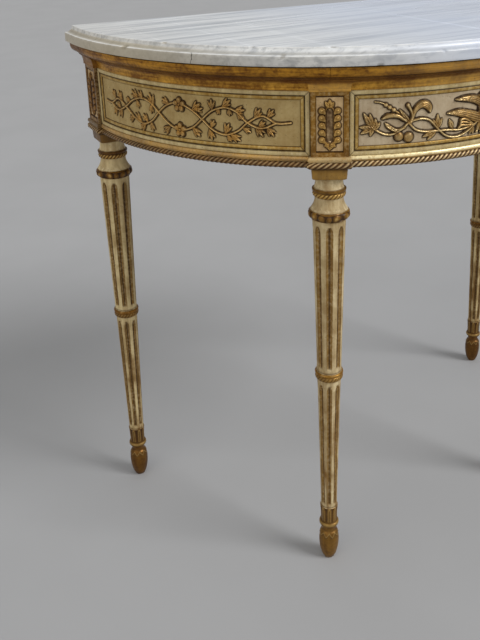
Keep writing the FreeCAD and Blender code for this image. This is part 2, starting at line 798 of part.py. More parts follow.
def make_pegs():
    """All pegs of the frame's joints."""
    rail_ends = [(leg, side) for bay in BAY_LEGS.values() for leg, side in zip(bay, (1, -1))]
    pegs = [peg(LEGS[leg], f"peg_{leg}", side, level, "peg_diameter", "peg_length")
            for leg, side in rail_ends for level in PEG_LEVELS]
    pegs += [back_peg(leg, f"back_peg_{leg}", level, "peg_diameter", "peg_length")
             for leg in WALL_SIDES for level in PEG_LEVELS]
    keep(group("tenon_pegs", pegs), "tenon_pegs")


def wood_screw(place, name, side, clearance):
    """A countersunk screw through a glue block into the side of a post, or its hole."""
    head = side_formula(side, "post_width/2 + block_length + glue_line")
    inwards = SIDEWAYS_BACK if side > 0 else SIDEWAYS
    spot = ("block_middle", head, "apron_middle")
    diameter, length = f"(screw_diameter + {clearance})", f"screw_length + {clearance}/2"
    shank = rod(place, f"{name}_shank", diameter, length, spot, inwards)
    cone = doc.addObject("Part::Cone", f"{name}_head")
    head_radius = f"(screw_head_diameter + {clearance})/2"
    bind(cone, Radius1=head_radius, Radius2=f"{diameter}/2", Height="screw_head_height")
    place.seat(cone, *spot, tilt=inwards)
    return fuse(name, shank, cone)


def glue_block(leg, side):
    """A block in the corner between a post's side and the inner face of a rail, scribed to the rail."""
    name = f"block_{leg}_{'left' if side < 0 else 'right'}"
    place = LEGS[leg]
    start = "post_width/2 + glue_line" if side > 0 else "-(post_width/2 + glue_line + block_length)"
    bar = box(place, f"{name}_bar", ("-post_width/2", start, "apron_middle - block_height/2"),
              ("block_width + rail_thickness", "block_length", "block_height"))
    scribe = drum(f"{name}_scribe", "rail_inner_radius - glue_line", "apron_bottom", "apron_height")
    blank = common(f"{name}_blank", bar, scribe)
    return cut(name, blank, wood_screw(place, f"{name}_hole", side, "glue_line"))


def make_blocks():
    """Glue blocks at every meeting of a rail and a post, and their screws."""
    corners = [(leg, side) for bay in BAY_LEGS.values() for leg, side in zip(bay, (1, -1))]
    keep(group("corner_blocks", [glue_block(leg, side) for leg, side in corners]), "corner_blocks")
    screws = [wood_screw(LEGS[leg], f"screw_{leg}_{'left' if side < 0 else 'right'}", side, "0")
              for leg, side in corners]
    keep(group("block_screws", screws), "block_screws")


def make_pads():
    """Thin discs between the frame and the slab, on the posts and on the bearers."""
    post_spot = (f"-post_width*{PAD_INSET_SHARE}", "0", "frame_top")
    pads = [rod(place, f"pad_{leg}", "pad_diameter", "pad_thickness", post_spot)
            for leg, place in LEGS.items()]
    for name, side in BEARER_SIDES.items():
        for part, share in PAD_STATION_SHARES.items():
            spot = (side_formula(side, "bearer_spacing/2"), f"-rail_inner_radius*{share}", "frame_top")
            pads.append(rod(TABLE, f"pad_{name}_{part}", "pad_diameter", "pad_thickness", spot))
    keep(group("bedding_pads", pads), "bedding_pads")


# Mouldings that run round the frame and break forward over the posts

RUN_EDGES = {
    "cove": [("cove_projection", "ovolo_bottom"),
             ("cove_projection", "ovolo_bottom - cove_fillet_height", SOFT_BULGE_SHARE),
             ("cove_foot_projection", "frieze_top")],
    "base_band": [("band_head_projection", "band_top", -QUARTER_BULGE_SHARE),
                  ("band_projection", "band_top - band_height/2"),
                  ("band_projection", "rope_top")],
    "rope_bead": [("rope_seat", "rope_top", -HALF_BULGE_SHARE), ("rope_seat", "apron_bottom")],
}
RETURN_EDGES = {
    "cove": [("cap_projection", "ovolo_bottom"),
             ("cap_projection", "ovolo_bottom - cove_fillet_height", SOFT_BULGE_SHARE),
             ("cap_foot_projection", "frieze_top")],
    "base_band": [("band_return_head_projection", "band_top", -QUARTER_BULGE_SHARE),
                  ("band_return_projection", "band_top - band_height/2"),
                  ("band_return_projection", "rope_top")],
    "rope_bead": [("rope_return_seat", "rope_top", -HALF_BULGE_SHARE), ("rope_return_seat", "apron_bottom")],
}
RETURN_NAMES = {"cove": "cove_cap", "base_band": "base_return", "rope_bead": "rope_return"}


def offset_edge(edge, seat):
    """An edge measured from a seat."""
    return [(f"{seat} + {corner[0]}",) + corner[1:] for corner in edge]


def return_block(kind, leg):
    """A moulding all round a post, mitred at the corners and flush on the wall side of a rear post."""
    name = f"{RETURN_NAMES[kind]}_{leg}"
    place = LEGS[leg]
    edge = offset_edge(RETURN_EDGES[kind], "post_width/2")
    top, bottom = edge[0][1], edge[-1][1]
    front = plane_sketch(place, f"{name}_front_outline", [("0", top)] + edge + [("0", bottom)])
    wide = "post_width*2"
    front_run = extrude(f"{name}_front", front, place.heading(0, 1), wide, both_ways=True)
    wall_side = WALL_SIDES.get(leg)
    flush = [("post_width/2", top), ("post_width/2", bottom)]
    right = flush if wall_side == 1 else edge
    left_edge = flush if wall_side == -1 else edge
    left = [mirror_corner(left_edge, index) for index in reversed(range(len(left_edge)))]
    sides = plane_sketch(place, f"{name}_side_outline", right + left, FRONT_PLANE)
    side_run = extrude(f"{name}_sides", sides, place.heading(1, 0), wide)
    return common(f"{name}_block", front_run, side_run)


def make_returns(kind):
    """The returns of one moulding round every post, cut back to the post and the rails."""
    blocks = {}
    for leg, place in LEGS.items():
        name = f"{RETURN_NAMES[kind]}_{leg}"
        blocks[leg] = return_block(kind, leg)
        post = post_block(f"{name}_post", place, *CLEAR_SPAN)
        ground = drum(f"{name}_ground", "ground_radius", *CLEAR_SPAN)
        keep(cut(name, blocks[leg], post, ground), name)
    return blocks


def make_runs(kind, blocks):
    """The lengths of one moulding between the posts, coped to the returns."""
    edge = offset_edge(RUN_EDGES[kind], "ground_radius")
    for bay, place in BAYS.items():
        name = f"{kind}_{bay}"
        corners = [("ground_radius", edge[0][1])] + edge + [("ground_radius", edge[-1][1])]
        strip = revolve(f"{name}_strip", plane_sketch(place, f"{name}_outline", corners), str(BAY_STEP))
        keep(cut(name, strip, *(blocks[leg] for leg in BAY_LEGS[bay])), name)


def make_ovolo():
    """The upper cornice in three lengths that meet over the front posts, returned to the wall."""
    corners = [
        ("ground_radius", "frame_top"),
        ("ovolo_radius", "frame_top"),
        ("ovolo_radius", "frame_top - ovolo_fillet_height", -SOFT_BULGE_SHARE),
        ("ovolo_foot_radius", "ovolo_bottom"),
        ("ground_radius", "ovolo_bottom"),
    ]
    for bay, place in BAYS.items():
        name = f"cornice_{bay}"
        run = revolve(f"{name}_run", plane_sketch(place, f"{name}_outline", corners), str(BAY_STEP))
        rear = next((leg for leg in BAY_LEGS[bay] if leg in WALL_SIDES), None)
        if rear:
            end = plane_sketch(Place(LEG_TURNS[rear]), f"{name}_end_outline", corners)
            wall = extrude(f"{name}_end", end, LEGS[rear].heading(0, WALL_SIDES[rear]), "post_width/2")
            run = fuse(name, run, wall)
        keep(run, name)


# Panel frames and ornament

def arc_share(length):
    """The angle in degrees that a length takes up on the ground of a panel."""
    return f"({length})/ground_radius*180/pi"


PANEL_ANGLE = f"({BAY_STEP} - 2*asin((post_width/2 + panel_end_gap)/ground_radius)/1deg)"


def curved_plate(name, place, relief, inset):
    """A plate bent to the ground of a panel, inset from the panel's outline."""
    low, high = f"band_top + {inset}", f"frieze_top - {inset}"
    corners = rectangle("ground_radius", low, f"ground_radius + {relief}", high)
    outline = plane_sketch(place, f"{name}_outline", corners)
    return revolve(name, outline, f"{PANEL_ANGLE} - 2*{arc_share(inset)}")


def make_panel_frame(bay):
    """A raised bead with a lower step inside it, round the ground of a panel."""
    name = f"panel_frame_{bay}"
    place = BAYS[bay]
    bead = curved_plate(f"{name}_bead", place, "frame_bead_relief", "0")
    step = curved_plate(f"{name}_step", place, "frame_step_relief", "frame_bead_width")
    bead_opening = curved_plate(f"{name}_bead_opening", place, "frame_bead_relief*2", "frame_bead_width")
    step_opening = curved_plate(f"{name}_step_opening", place, "frame_bead_relief*2", "frame_border")
    ring = cut(f"{name}_bead_ring", bead, bead_opening)
    keep(fuse(name, ring, cut(f"{name}_step_ring", step, step_opening)), name)


def bent_band(start, via, end, width):
    """A flat band of one width along the arc through three points."""
    curve = Part.Arc(start, via, end).toShape().Curve
    middle = curve.Center
    shift = width / 2

    def moved(point, reach):
        return middle + (point - middle).normalize() * reach

    rims = []
    for reach in (curve.Radius + shift, curve.Radius - shift):
        rims.append([moved(point, reach) for point in (start, via, end)])
    (out_start, out_via, out_end), (in_start, in_via, in_end) = rims
    edges = [Part.Arc(out_start, out_via, out_end).toShape(), Part.makeLine(out_end, in_end),
             Part.Arc(in_end, in_via, in_start).toShape(), Part.makeLine(in_start, out_start)]
    return Part.Face(Part.Wire(edges))


def leaf_face(base, heading, length, width):
    """A pointed leaf between two arcs, from its base along a heading in degrees."""
    angle = math.radians(heading)
    along = Vector(0, math.cos(angle), math.sin(angle))
    aside = Vector(0, -math.sin(angle), math.cos(angle))
    tip = base + along * length
    belly = base + along * (length / 2)
    bulge = aside * (width / 2)
    sides = [Part.Arc(base, belly + bulge, tip), Part.Arc(tip, belly - bulge, base)]
    return Part.Face(Part.Wire([side.toShape() for side in sides]))


def disc_face(middle, diameter):
    """A flat disc."""
    return Part.Face(Part.Wire(Part.makeCircle(diameter / 2, middle, Vector(1, 0, 0))))


def rosette_faces(middle):
    """A flower of round petals about a round heart."""
    reach = size("petal_circle_diameter") / 2
    turns = [math.radians(90 + 360 * index / PETAL_COUNT) for index in range(PETAL_COUNT)]
    petals = [middle + Vector(0, math.cos(turn), math.sin(turn)) * reach for turn in turns]
    return [disc_face(spot, size("petal_diameter")) for spot in petals + [middle]]


def stem_bows(half_length, level, station_shares):
    """Start, middle and end of each bow of two stems that cross at each station, mirrored to both ends."""
    crossings = [share * half_length for share in station_shares[:-1]]
    spots = [-spot for spot in reversed(crossings)] + crossings
    bows = []
    for left, right in zip(spots[:-1], spots[1:]):
        rise = (right - left) / 2 * math.tan(math.radians(STEM_SLOPE / 2))
        for side in (-1, 1):
            middle = Vector(0, (left + right) / 2, level + side * rise)
            bows.append((Vector(0, left, level), middle, Vector(0, right, level)))
    return bows


def stem_faces(half_length, level, station_shares):
    """Two crossing stems with leaves on the outside of every bow, then a single tip at each end."""
    width = size("stem_width")
    bows = stem_bows(half_length, level, station_shares)
    faces = [bent_band(*bow, width) for bow in bows]
    for bow in bows:
        faces += bow_leaves(*bow)
    join, tip = (share * half_length for share in station_shares[-2:])
    for side in (-1, 1):
        faces.append(disc_face(Vector(0, side * join, level), width))
        end_leaf = leaf_face(Vector(0, side * join, level), 90 - 90 * side, tip - join, size("leaf_width"))
        faces.append(end_leaf)
    return faces


def bow_leaves(start, middle, end):
    """Leaves that spring outwards from one bow of a stem, towards the nearer end of the panel."""
    curve = Part.Arc(start, middle, end)
    outside = 1 if middle.z > start.z else -1
    faces = []
    for share, lean in zip(LEAF_STATION_SHARES, LEAF_LEANS):
        place = share if middle.y > 0 else 1 - share
        heading = lean if middle.y > 0 else 180 - lean
        base = curve.value(curve.FirstParameter + place * (curve.LastParameter - curve.FirstParameter))
        faces.append(leaf_face(base, outside * heading, size("leaf_length"), size("leaf_width")))
    return faces


def bird_faces(level):
    """A bird seen from the front with both wings spread."""
    height, width = size("bird_height"), size("bird_width")
    faces = [leaf_face(Vector(0, 0, level - height / 2), 90, height, width)]
    for heading in WING_HEADINGS:
        for side_heading in (heading, 180 - heading):
            feather = leaf_face(Vector(0, 0, level), side_heading, size("wing_length"), size("wing_width"))
            faces.append(feather)
    return faces


def make_carving(bay):
    """Carving drawn flat, carried through the bent skin of the panel that it is glued to."""
    name = f"carving_{bay}"
    place = BAYS[bay]
    level = size("frieze_middle")
    half_angle = math.radians(size(f"{PANEL_ANGLE}/2 - {arc_share('frame_border')}"))
    half_length = size("ground_radius") * math.sin(half_angle)
    half_height = size("frieze_height") / 2 - size("frame_border")
    if bay == "center":
        faces = stem_faces(half_length, level, CENTER_STATION_SHARES) + bird_faces(level)
    else:
        faces = stem_faces(half_length, level, SIDE_STATION_SHARES)
        for side in (-1, 1):
            faces += rosette_faces(Vector(0, 0, level + side * half_height / 2))
    reach = size("slab_radius")
    blanks = [face.extrude(Vector(reach, 0, 0)) for face in faces]
    inner, outer = size("ground_radius"), size("ground_radius + carving_relief")
    foot, height = Vector(0, 0, size("apron_bottom")), size("apron_height")
    skin = Part.makeCylinder(outer, height, foot).cut(Part.makeCylinder(inner, height, foot))
    carved = blanks[0].fuse(blanks[1:]).removeSplitter().common(skin)
    item = doc.addObject("Part::Feature", name)
    item.Shape = carved
    place.seat(item)
    keep(item, name)


def make_medallion(leg):
    """A beaded oval in the sunk panel of a post."""
    name = f"medallion_{leg}"
    place = LEGS[leg]
    face = "post_width/2 - die_recess_depth"
    column = f"lobe_spacing*{LOBE_ROWS - 1}"
    low = (face, "-lobe_column_spacing/2", f"frieze_middle - {column}/2")
    center = box(place, f"{name}_center", low, ("medallion_relief", "lobe_column_spacing", column))
    parts = [center]
    for row in range(LOBE_ROWS):
        level = f"frieze_middle + lobe_spacing*({row} - {LOBE_ROWS - 1}/2)"
        for side in (-1, 1):
            spot = (face, side_formula(side, "lobe_column_spacing/2"), level)
            parts.append(rod(place, f"{name}_lobe", "lobe_diameter", "medallion_relief", spot, OUTWARDS))
    for side in (-1, 1):
        spot = (face, "0", f"frieze_middle + {side}*medallion_tip_spacing/2")
        parts.append(rod(place, f"{name}_tip", "medallion_tip_diameter", "medallion_relief", spot, OUTWARDS))
        bud_spot = (face, "0", f"frieze_middle + {side}*{column}/2")
        bud = rod(place, f"{name}_bud", "lobe_column_spacing", "medallion_relief", bud_spot, OUTWARDS)
        parts.append(bud)
    keep(fuse(name, *parts), name)


def check_and_write():
    """Stop on any failed object or bad solid, then write every sub-part to its own file."""
    doc.recompute()
    failed = [item.Name for item in doc.Objects if {"Invalid", "Error"} & set(item.State)]
    if failed:
        raise RuntimeError(f"failed objects: {failed}")
    for label, item in NODES.items():
        if item.Shape.isNull() or not item.Shape.isValid() or not item.Shape.Solids:
            raise RuntimeError(f"bad shape: {label}")
    os.makedirs("parts", exist_ok=True)
    for label, item in NODES.items():
        item.Shape.exportStep(f"parts/{label}.step")
        print(f"{label}: {len(item.Shape.Solids)} solids, {item.Shape.Volume:.0f} mm3")


make_slab()
make_pads()
for leg_name, leg_place in LEGS.items():
    make_leg(leg_name, leg_place)
for bay_name in BAYS:
    make_rail(bay_name)
make_back_rail()
for bearer_name, bearer_side in BEARER_SIDES.items():
    make_bearer(bearer_name, bearer_side)
make_pegs()
make_blocks()
make_ovolo()
for moulding in RUN_EDGES:
    make_runs(moulding, make_returns(moulding))
for bay_name in BAYS:
    make_panel_frame(bay_name)
    make_carving(bay_name)
for leg_name in LEGS:
    make_medallion(leg_name)
check_and_write()
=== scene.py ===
"""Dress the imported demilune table: marble slab, carved and parcel-gilt woodwork, bare wood behind.

Sizes are millimetres in the table's own frame: Z up, the wall at +Y, the round front at -Y.
Grids run in columns towards the viewer's right and in rows upwards, so that their faces point outwards.
"""

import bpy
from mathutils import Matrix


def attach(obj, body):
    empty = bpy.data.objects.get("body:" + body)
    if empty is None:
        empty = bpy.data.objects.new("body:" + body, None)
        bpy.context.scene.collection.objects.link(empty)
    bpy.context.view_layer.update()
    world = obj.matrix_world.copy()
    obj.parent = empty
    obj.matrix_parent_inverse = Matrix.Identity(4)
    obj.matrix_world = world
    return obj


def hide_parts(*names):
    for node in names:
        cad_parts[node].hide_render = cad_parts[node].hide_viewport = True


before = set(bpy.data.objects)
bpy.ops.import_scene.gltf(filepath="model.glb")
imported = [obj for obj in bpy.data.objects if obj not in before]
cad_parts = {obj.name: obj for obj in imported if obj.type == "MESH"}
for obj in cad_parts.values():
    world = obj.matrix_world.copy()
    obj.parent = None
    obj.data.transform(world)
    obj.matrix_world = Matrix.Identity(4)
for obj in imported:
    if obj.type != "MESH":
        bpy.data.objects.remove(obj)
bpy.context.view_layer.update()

import logging
import math
from copy import copy
from dataclasses import dataclass, field, replace
from enum import Enum
from functools import cache, partial, reduce
from typing import Callable, Sequence

import bpy
import numpy as np
from mathutils import Matrix

log = logging.getLogger("demilune_table")

MM = 0.001
ARC_Y = 222.5
GROUND_RADIUS = 443.0
LEG_RADIUS = 424.0
HALF_POST = 27.0
FRIEZE_MIDDLE = 769.0
CARVING_LEVEL = 771.5
SHARP_ANGLE = math.radians(38)
EDGE_REACH = 0.7
FULL_TURN = 2 * math.pi

Array = np.ndarray
Material = bpy.types.Material
Tree = bpy.types.NodeTree
Socket = bpy.types.NodeSocket
Outputs = bpy.types.bpy_prop_collection
Feed = Socket | float | tuple
Color = tuple[float, float, float, float]
Spot = tuple[float, float]
Triple = tuple[float, float, float]
Rows = Sequence[Sequence[float]]
Spine = Sequence[Spot]
Crown = Callable[[Array, Array], Array]


class Mask(Enum):
    """Point masks that the finishes read."""

    GILT = "gilt"
    # HOLLOW darkens a finish: patina in its hollows, and painted shade in creases, grooves and recesses.
    HOLLOW = "hollow"
    # RIDGE lightens a finish: rubbing on raised edges, and painted highlights on crests.
    RIDGE = "ridge"
    BARE = "bare"


Masks = dict[Mask, Array | float]
Skin = tuple[Array, Masks]


class Body(Enum):
    """Bodies that pieces ride on."""

    FRAME = "frame"
    TOP = "top"


class Slot(Enum):
    """Material slots of the record."""

    MARBLE = "marble"
    PAINTED = "painted_wood"
    GILT = "gilt_wood"


class Place(Enum):
    """A place on the round front, by its turn in degrees."""

    @property
    def turn(self) -> float:
        """Its turn about the middle of the arc."""
        return math.radians(self.value)

    @property
    def word(self) -> str:
        """Its word in the names of pieces and nodes."""
        return self.name.lower()


class Bay(Place):
    """The three bays, by their middles."""

    LEFT = -150
    CENTER = -90
    RIGHT = -30


class Leg(Place):
    """The four legs."""

    REAR_LEFT = -180
    FRONT_LEFT = -120
    FRONT_RIGHT = -60
    REAR_RIGHT = 0

    @property
    def wall_side(self) -> int:
        """The side of the post that faces the wall along its own Y axis, or zero."""
        return {Leg.REAR_LEFT: -1, Leg.REAR_RIGHT: 1}.get(self, 0)


def smoothstep(values: Array, low: float, high: float) -> Array:
    """Ease from 0 at low to 1 at high.

    Args:
        values: any array.
        low: where the ease starts.
        high: where the ease ends.

    Returns:
        The eased values, 3t^2 - 2t^3.
    """
    share = np.clip((values - low) / (high - low), 0, 1)
    return share * share * (3 - 2 * share)


def bell(offset: Array, width: float | Array) -> Array:
    """A bell curve: e to the power of minus the square of offset over width."""
    return np.exp(-(offset / width) ** 2)


def arch(across: Array) -> Array:
    """Height of a half circle over offsets from -1 to 1."""
    return np.sqrt(np.maximum(0, 1 - across**2))


def spline(points: Spine, count: int) -> Array:
    """Smooth curve through points: a cubic whose slope at a point is half the step between its neighbours.

    Args:
        points: the points that the curve passes.
        count: how many samples to take.

    Returns:
        The samples, count x 2.
    """
    spots = np.asarray(points, float)
    slopes = np.gradient(spots, axis=0)
    place = np.linspace(0, len(spots) - 1, count)
    start = np.minimum(place.astype(int), len(spots) - 2)
    t = (place - start)[:, None]
    rise = t * t * (3 - 2 * t)
    return (spots[start] * (1 - rise) + spots[start + 1] * rise
            + slopes[start] * (t * (1 - t) ** 2) - slopes[start + 1] * (t * t * (1 - t)))


def blur(values: Array, cells: int) -> Array:
    """Moving average over a square of cells, run twice so that it falls off evenly.

    Args:
        values: a grid.
        cells: half the side of the square.

    Returns:
        The blurred grid.
    """
    span = 2 * cells + 1
    for axis in (0, 1, 0, 1):
        pad = [(0, 0), (0, 0)]
        pad[axis] = (cells + 1, cells)
        total = np.cumsum(np.pad(values, pad, mode="edge"), axis=axis)
        upper = np.take(total, range(span, total.shape[axis]), axis=axis)
        lower = np.take(total, range(total.shape[axis] - span), axis=axis)
        values = (upper - lower) / span
    return values


def on_ground(bay: Bay, along: Array, out: Array, up: Array) -> Array:
    """Points on the bent ground of a bay: the angle is arc length over radius.

    Args:
        bay: the bay.
        along: arc length from the middle of the bay, towards the viewer's right.
        out: height over the ground.
        up: level over the floor.

    Returns:
        The points, with a last axis of three.
    """
    turn = bay.turn + along / GROUND_RADIUS
    reach = GROUND_RADIUS + out
    return np.stack(np.broadcast_arrays(reach * np.cos(turn), ARC_Y + reach * np.sin(turn), up), -1)


def at_leg(leg: Leg, out: Array, aside: Array, up: Array) -> Array:
    """Points about a leg's axis, turned so that its own X points outwards.

    Args:
        leg: the leg.
        out: distance outwards from the axis.
        aside: distance towards the viewer's right.
        up: level over the floor.

    Returns:
        The points, with a last axis of three.
    """
    reach = LEG_RADIUS + out
    x = reach * math.cos(leg.turn) - aside * math.sin(leg.turn)
    y = ARC_Y + reach * math.sin(leg.turn) + aside * math.cos(leg.turn)
    return np.stack(np.broadcast_arrays(x, y, up), -1)


def round_box(wide: Array, tall: Array) -> tuple[Array, Array]:
    """Columns round a rectangle from its lower left corner.

    Args:
        wide: places across its lower side, from -1 to 1.
        tall: places up its right side, from 0 to 1.

    Returns:
        Places across and up, as rows.
    """
    right, top = np.ones_like(tall), np.ones_like(wide)
    return (np.concatenate([wide, right, -wide, -right])[None, :],
            np.concatenate([0 * wide, tall, top, 1 - tall])[None, :])


@dataclass
class Shell:
    """A mesh in the making: grids of points with masks, and the faces between them."""

    points: list[Array] = field(default_factory=list)
    quads: list[Array] = field(default_factory=list)
    polygons: list[Array] = field(default_factory=list)
    masks: dict[Mask, list[Array]] = field(default_factory=lambda: {mask: [] for mask in Mask})
    count: int = 0

    def add_grid(self, points: Array, masks: Masks, wrap_rows: bool = False,
                 wrap_columns: bool = False) -> Array:
        """Add a grid of points and the quads between neighbours.

        Args:
            points: rows x columns x 3.
            masks: values that broadcast to rows x columns.
            wrap_rows: join the last row to the first.
            wrap_columns: join the last column to the first.

        Returns:
            The index of each point.
        """
        rows, columns = points.shape[:2]
        index = self.count + np.arange(rows * columns).reshape(rows, columns)
        self.points.append(points.reshape(-1, 3))
        for mask in Mask:
            self.masks[mask].append(np.broadcast_to(masks.get(mask, 0.0), (rows, columns)).ravel())
        self.count += rows * columns
        wide = np.concatenate([index, index[:, :1]], 1) if wrap_columns else index
        tall = np.concatenate([wide, wide[:1]], 0) if wrap_rows else wide
        quads = np.stack([tall[:-1, :-1], tall[:-1, 1:], tall[1:, 1:], tall[1:, :-1]], -1)
        self.quads.append(quads.reshape(-1, 4))
        return index

    def add_closed(self, points: Array, masks: Masks, by_rows: bool = False) -> "Shell":
        """Add closed loops side by side, capped at the first and the last loop.

        Args:
            points: rows x columns x 3.
            masks: values that broadcast to rows x columns.
            by_rows: each loop is a row and they stack upwards; or else each is a column.

        Returns:
            The shell.
        """
        index = self.add_grid(points, masks, not by_rows, by_rows)
        self.polygons += [index[0, ::-1], index[-1]] if by_rows else [index[:, 0], index[::-1, -1]]
        return self

    def place(self, name: str, material: Material, node: str, slot: Slot = Slot.GILT,
              body: Body = Body.FRAME) -> None:
        """Make the mesh an object that rides on a body and stands for a node of the frame.

        Args:
            name: the piece's name.
            material: its finish.
            node: the node that it replaces.
            slot: not used.
            body: the body that it rides on.
        """
        mesh = bpy.data.meshes.new(name)
        quads = np.concatenate(self.quads)
        corners = np.concatenate([quads.ravel(), *self.polygons]).astype(np.int32)
        sizes = np.array([4] * len(quads) + [len(polygon) for polygon in self.polygons])
        starts = np.concatenate([[0], np.cumsum(sizes)[:-1]]).astype(np.int32)
        mesh.vertices.add(self.count)
        mesh.vertices.foreach_set("co", (np.concatenate(self.points) * MM).astype(np.float32).ravel())
        mesh.loops.add(len(corners))
        mesh.loops.foreach_set("vertex_index", corners)
        mesh.polygons.add(len(sizes))
        mesh.polygons.foreach_set("loop_start", starts)
        mesh.polygons.foreach_set("use_smooth", np.ones(len(sizes), bool))
        mesh.update(calc_edges=True)
        mesh.validate()
        mesh.set_sharp_from_angle(angle=SHARP_ANGLE)
        for mask, values in self.masks.items():
            layer = mesh.attributes.new(mask.value, "FLOAT", "POINT")
            layer.data.foreach_set("value", np.concatenate(values).astype(np.float32))
        mesh.materials.append(material)
        piece = bpy.data.objects.new(name, mesh)
        bpy.context.scene.collection.objects.link(piece)
        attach(piece, body.value)
        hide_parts(node)
        log.info("%s: %d points for %s", name, self.count, node)


# Finishes

def srgb(red: int, green: int, blue: int) -> Color:
    """A colour as the shader takes it, linear with an alpha of 1, from values of 0 to 255 on a screen."""
    parts = [value / 255 for value in (red, green, blue)]
    return (*(part / 12.92 if part <= 0.04045 else ((part + 0.055) / 1.055) ** 2.4 for part in parts), 1.0)


WOOD_DUST = srgb(118, 100, 78)
EARLY_WOOD = srgb(158, 122, 80)
LATE_WOOD = srgb(112, 80, 48)


@dataclass
class Nodes:
    """Adds nodes to a shader tree and links them."""

    tree: Tree

    def feed(self, socket: Socket, value: Feed) -> None:
        """Link a socket to another, or set its plain value.

        Args:
            socket: the socket that is fed.
            value: the other socket, or the value.
        """
        if isinstance(value, Socket):
            self.tree.links.new(value, socket)
        else:
            socket.default_value = value

    def add(self, kind: str, inputs: dict[str | int, Feed] | None = None,
            **settings: object) -> Outputs:
        """Add a node.

        Args:
            kind: the node's type, without its first word.
            inputs: what feeds its inputs, by name or number.
            settings: its own properties.

        Returns:
            The node's outputs.
        """
        node = self.tree.nodes.new(f"ShaderNode{kind}")
        for key, value in settings.items():
            setattr(node, key, value)
        for key, value in (inputs or {}).items():
            self.feed(node.inputs[key], value)
        return node.outputs

    def math(self, operation: str, first: Feed, second: Feed = 0.0) -> Socket:
        """One step of arithmetic on two values."""
        return self.add("Math", {0: first, 1: second}, operation=operation)[0]

    def times(self, *factors: Feed) -> Socket:
        """The product of values."""
        return reduce(partial(self.math, "MULTIPLY"), factors)

    def weigh(self, *terms: tuple[Feed, Feed]) -> Socket:
        """The sum of values, each times its weight."""
        return reduce(partial(self.math, "ADD"), [self.times(*term) for term in terms])

    def mix(self, share: Feed, first: Feed, second: Feed) -> Socket:
        """A colour between two, by a share from 0 to 1."""
        return self.add("Mix", {0: share, 6: first, 7: second}, data_type="RGBA")[2]

    def coat(self, color: Feed, *coats: tuple[Feed, Feed]) -> Socket:
        """A colour with coats over it in turn, each given by its share and its colour."""
        return reduce(lambda under, over: self.mix(over[0], under, over[1]), coats, color)

    def between(self, value: Feed, low: float, high: float, start: float = 0.0, end: float = 1.0) -> Socket:
        """Map a range of a value smoothly onto another range.

        Args:
            value: what is mapped.
            low: the value that gives start.
            high: the value that gives end.
            start: result at and below low.
            end: result at and above high.

        Returns:
            The mapped value.
        """
        inputs = {"Value": value, 1: low, 2: high, 3: start, 4: end}
        return self.add("MapRange", inputs, interpolation_type="SMOOTHSTEP")[0]

    def noise(self, vector: Feed, scale: float, detail: float = 3.0, distortion: float = 0.0) -> Socket:
        """Cloudy noise at a scale per metre."""
        inputs = {"Vector": vector, "Scale": scale, "Detail": detail, "Distortion": distortion}
        return self.add("TexNoise", inputs)[0]

    def drawn(self, vector: Feed, scale: Feed, detail: float, distortion: float = 0.0) -> Socket:
        """Noise drawn out by a scale per metre along each axis."""
        return self.noise(self.add("Mapping", {"Vector": vector, "Scale": scale})[0], 1.0, detail, distortion)

    def attribute(self, mask: Mask) -> Socket:
        """A point mask of the piece."""
        return self.add("Attribute", attribute_name=mask.value)["Fac"]

    def group(self, tree: Tree, inputs: dict[str, Feed]) -> Outputs:
        """The outputs of a shared effect that is placed in this tree."""
        return self.add("Group", inputs, node_tree=tree)


class Kind(Enum):
    """Kinds of sockets on a shared effect."""

    VALUE = "NodeSocketFloat"
    COLOR = "NodeSocketColor"
    VECTOR = "NodeSocketVector"

    def sockets(self, *names: str) -> dict[str, "Kind"]:
        """Sockets of this kind, by their names."""
        return dict.fromkeys(names, self)


MARKS = ("Broad", "Fine", "Speck", "Streak")


class Effect(Nodes):
    """A shared effect: a node group with named inputs and outputs."""

    def __init__(self, name: str, inputs: dict[str, Kind], outputs: dict[str, Kind]) -> None:
        """Make the empty group.

        Args:
            name: its name.
            inputs: kinds of its inputs, by their names.
            outputs: kinds of its outputs, by their names.
        """
        super().__init__(bpy.data.node_groups.new(name, "ShaderNodeTree"))
        for way, sockets in (("INPUT", inputs), ("OUTPUT", outputs)):
            for label, kind in sockets.items():
                self.tree.interface.new_socket(name=label, in_out=way, socket_type=kind.value)
        self.given = self.tree.nodes.new("NodeGroupInput").outputs
        self.made = self.tree.nodes.new("NodeGroupOutput").inputs

    def give(self, **results: Feed) -> Tree:
        """Feed the outputs and hand the group over.

        Args:
            results: what feeds each output, by its name.

        Returns:
            The group.
        """
        for label, value in results.items():
            self.feed(self.made[label], value)
        return self.tree


@cache
def age_marks() -> Tree:
    """Blotches, fine mottle, dark specks and drawn-out streaks of an old surface, from its coordinates.

    Returns:
        The group.
    """
    effect = Effect("age_marks", Kind.VECTOR.sockets("Coordinate", "Draw"), Kind.VALUE.sockets(*MARKS))
    spot = effect.given["Coordinate"]
    return effect.give(
        Broad=effect.between(effect.noise(spot, 26.0, 4.0, 0.6), 0.36, 0.66),
        Streak=effect.between(effect.drawn(spot, effect.given["Draw"], 4.0, 0.3), 0.36, 0.68),
        Fine=effect.noise(spot, 210.0, 5.0),
        Speck=effect.between(effect.noise(spot, 380.0, 2.0), 0.66, 0.74))


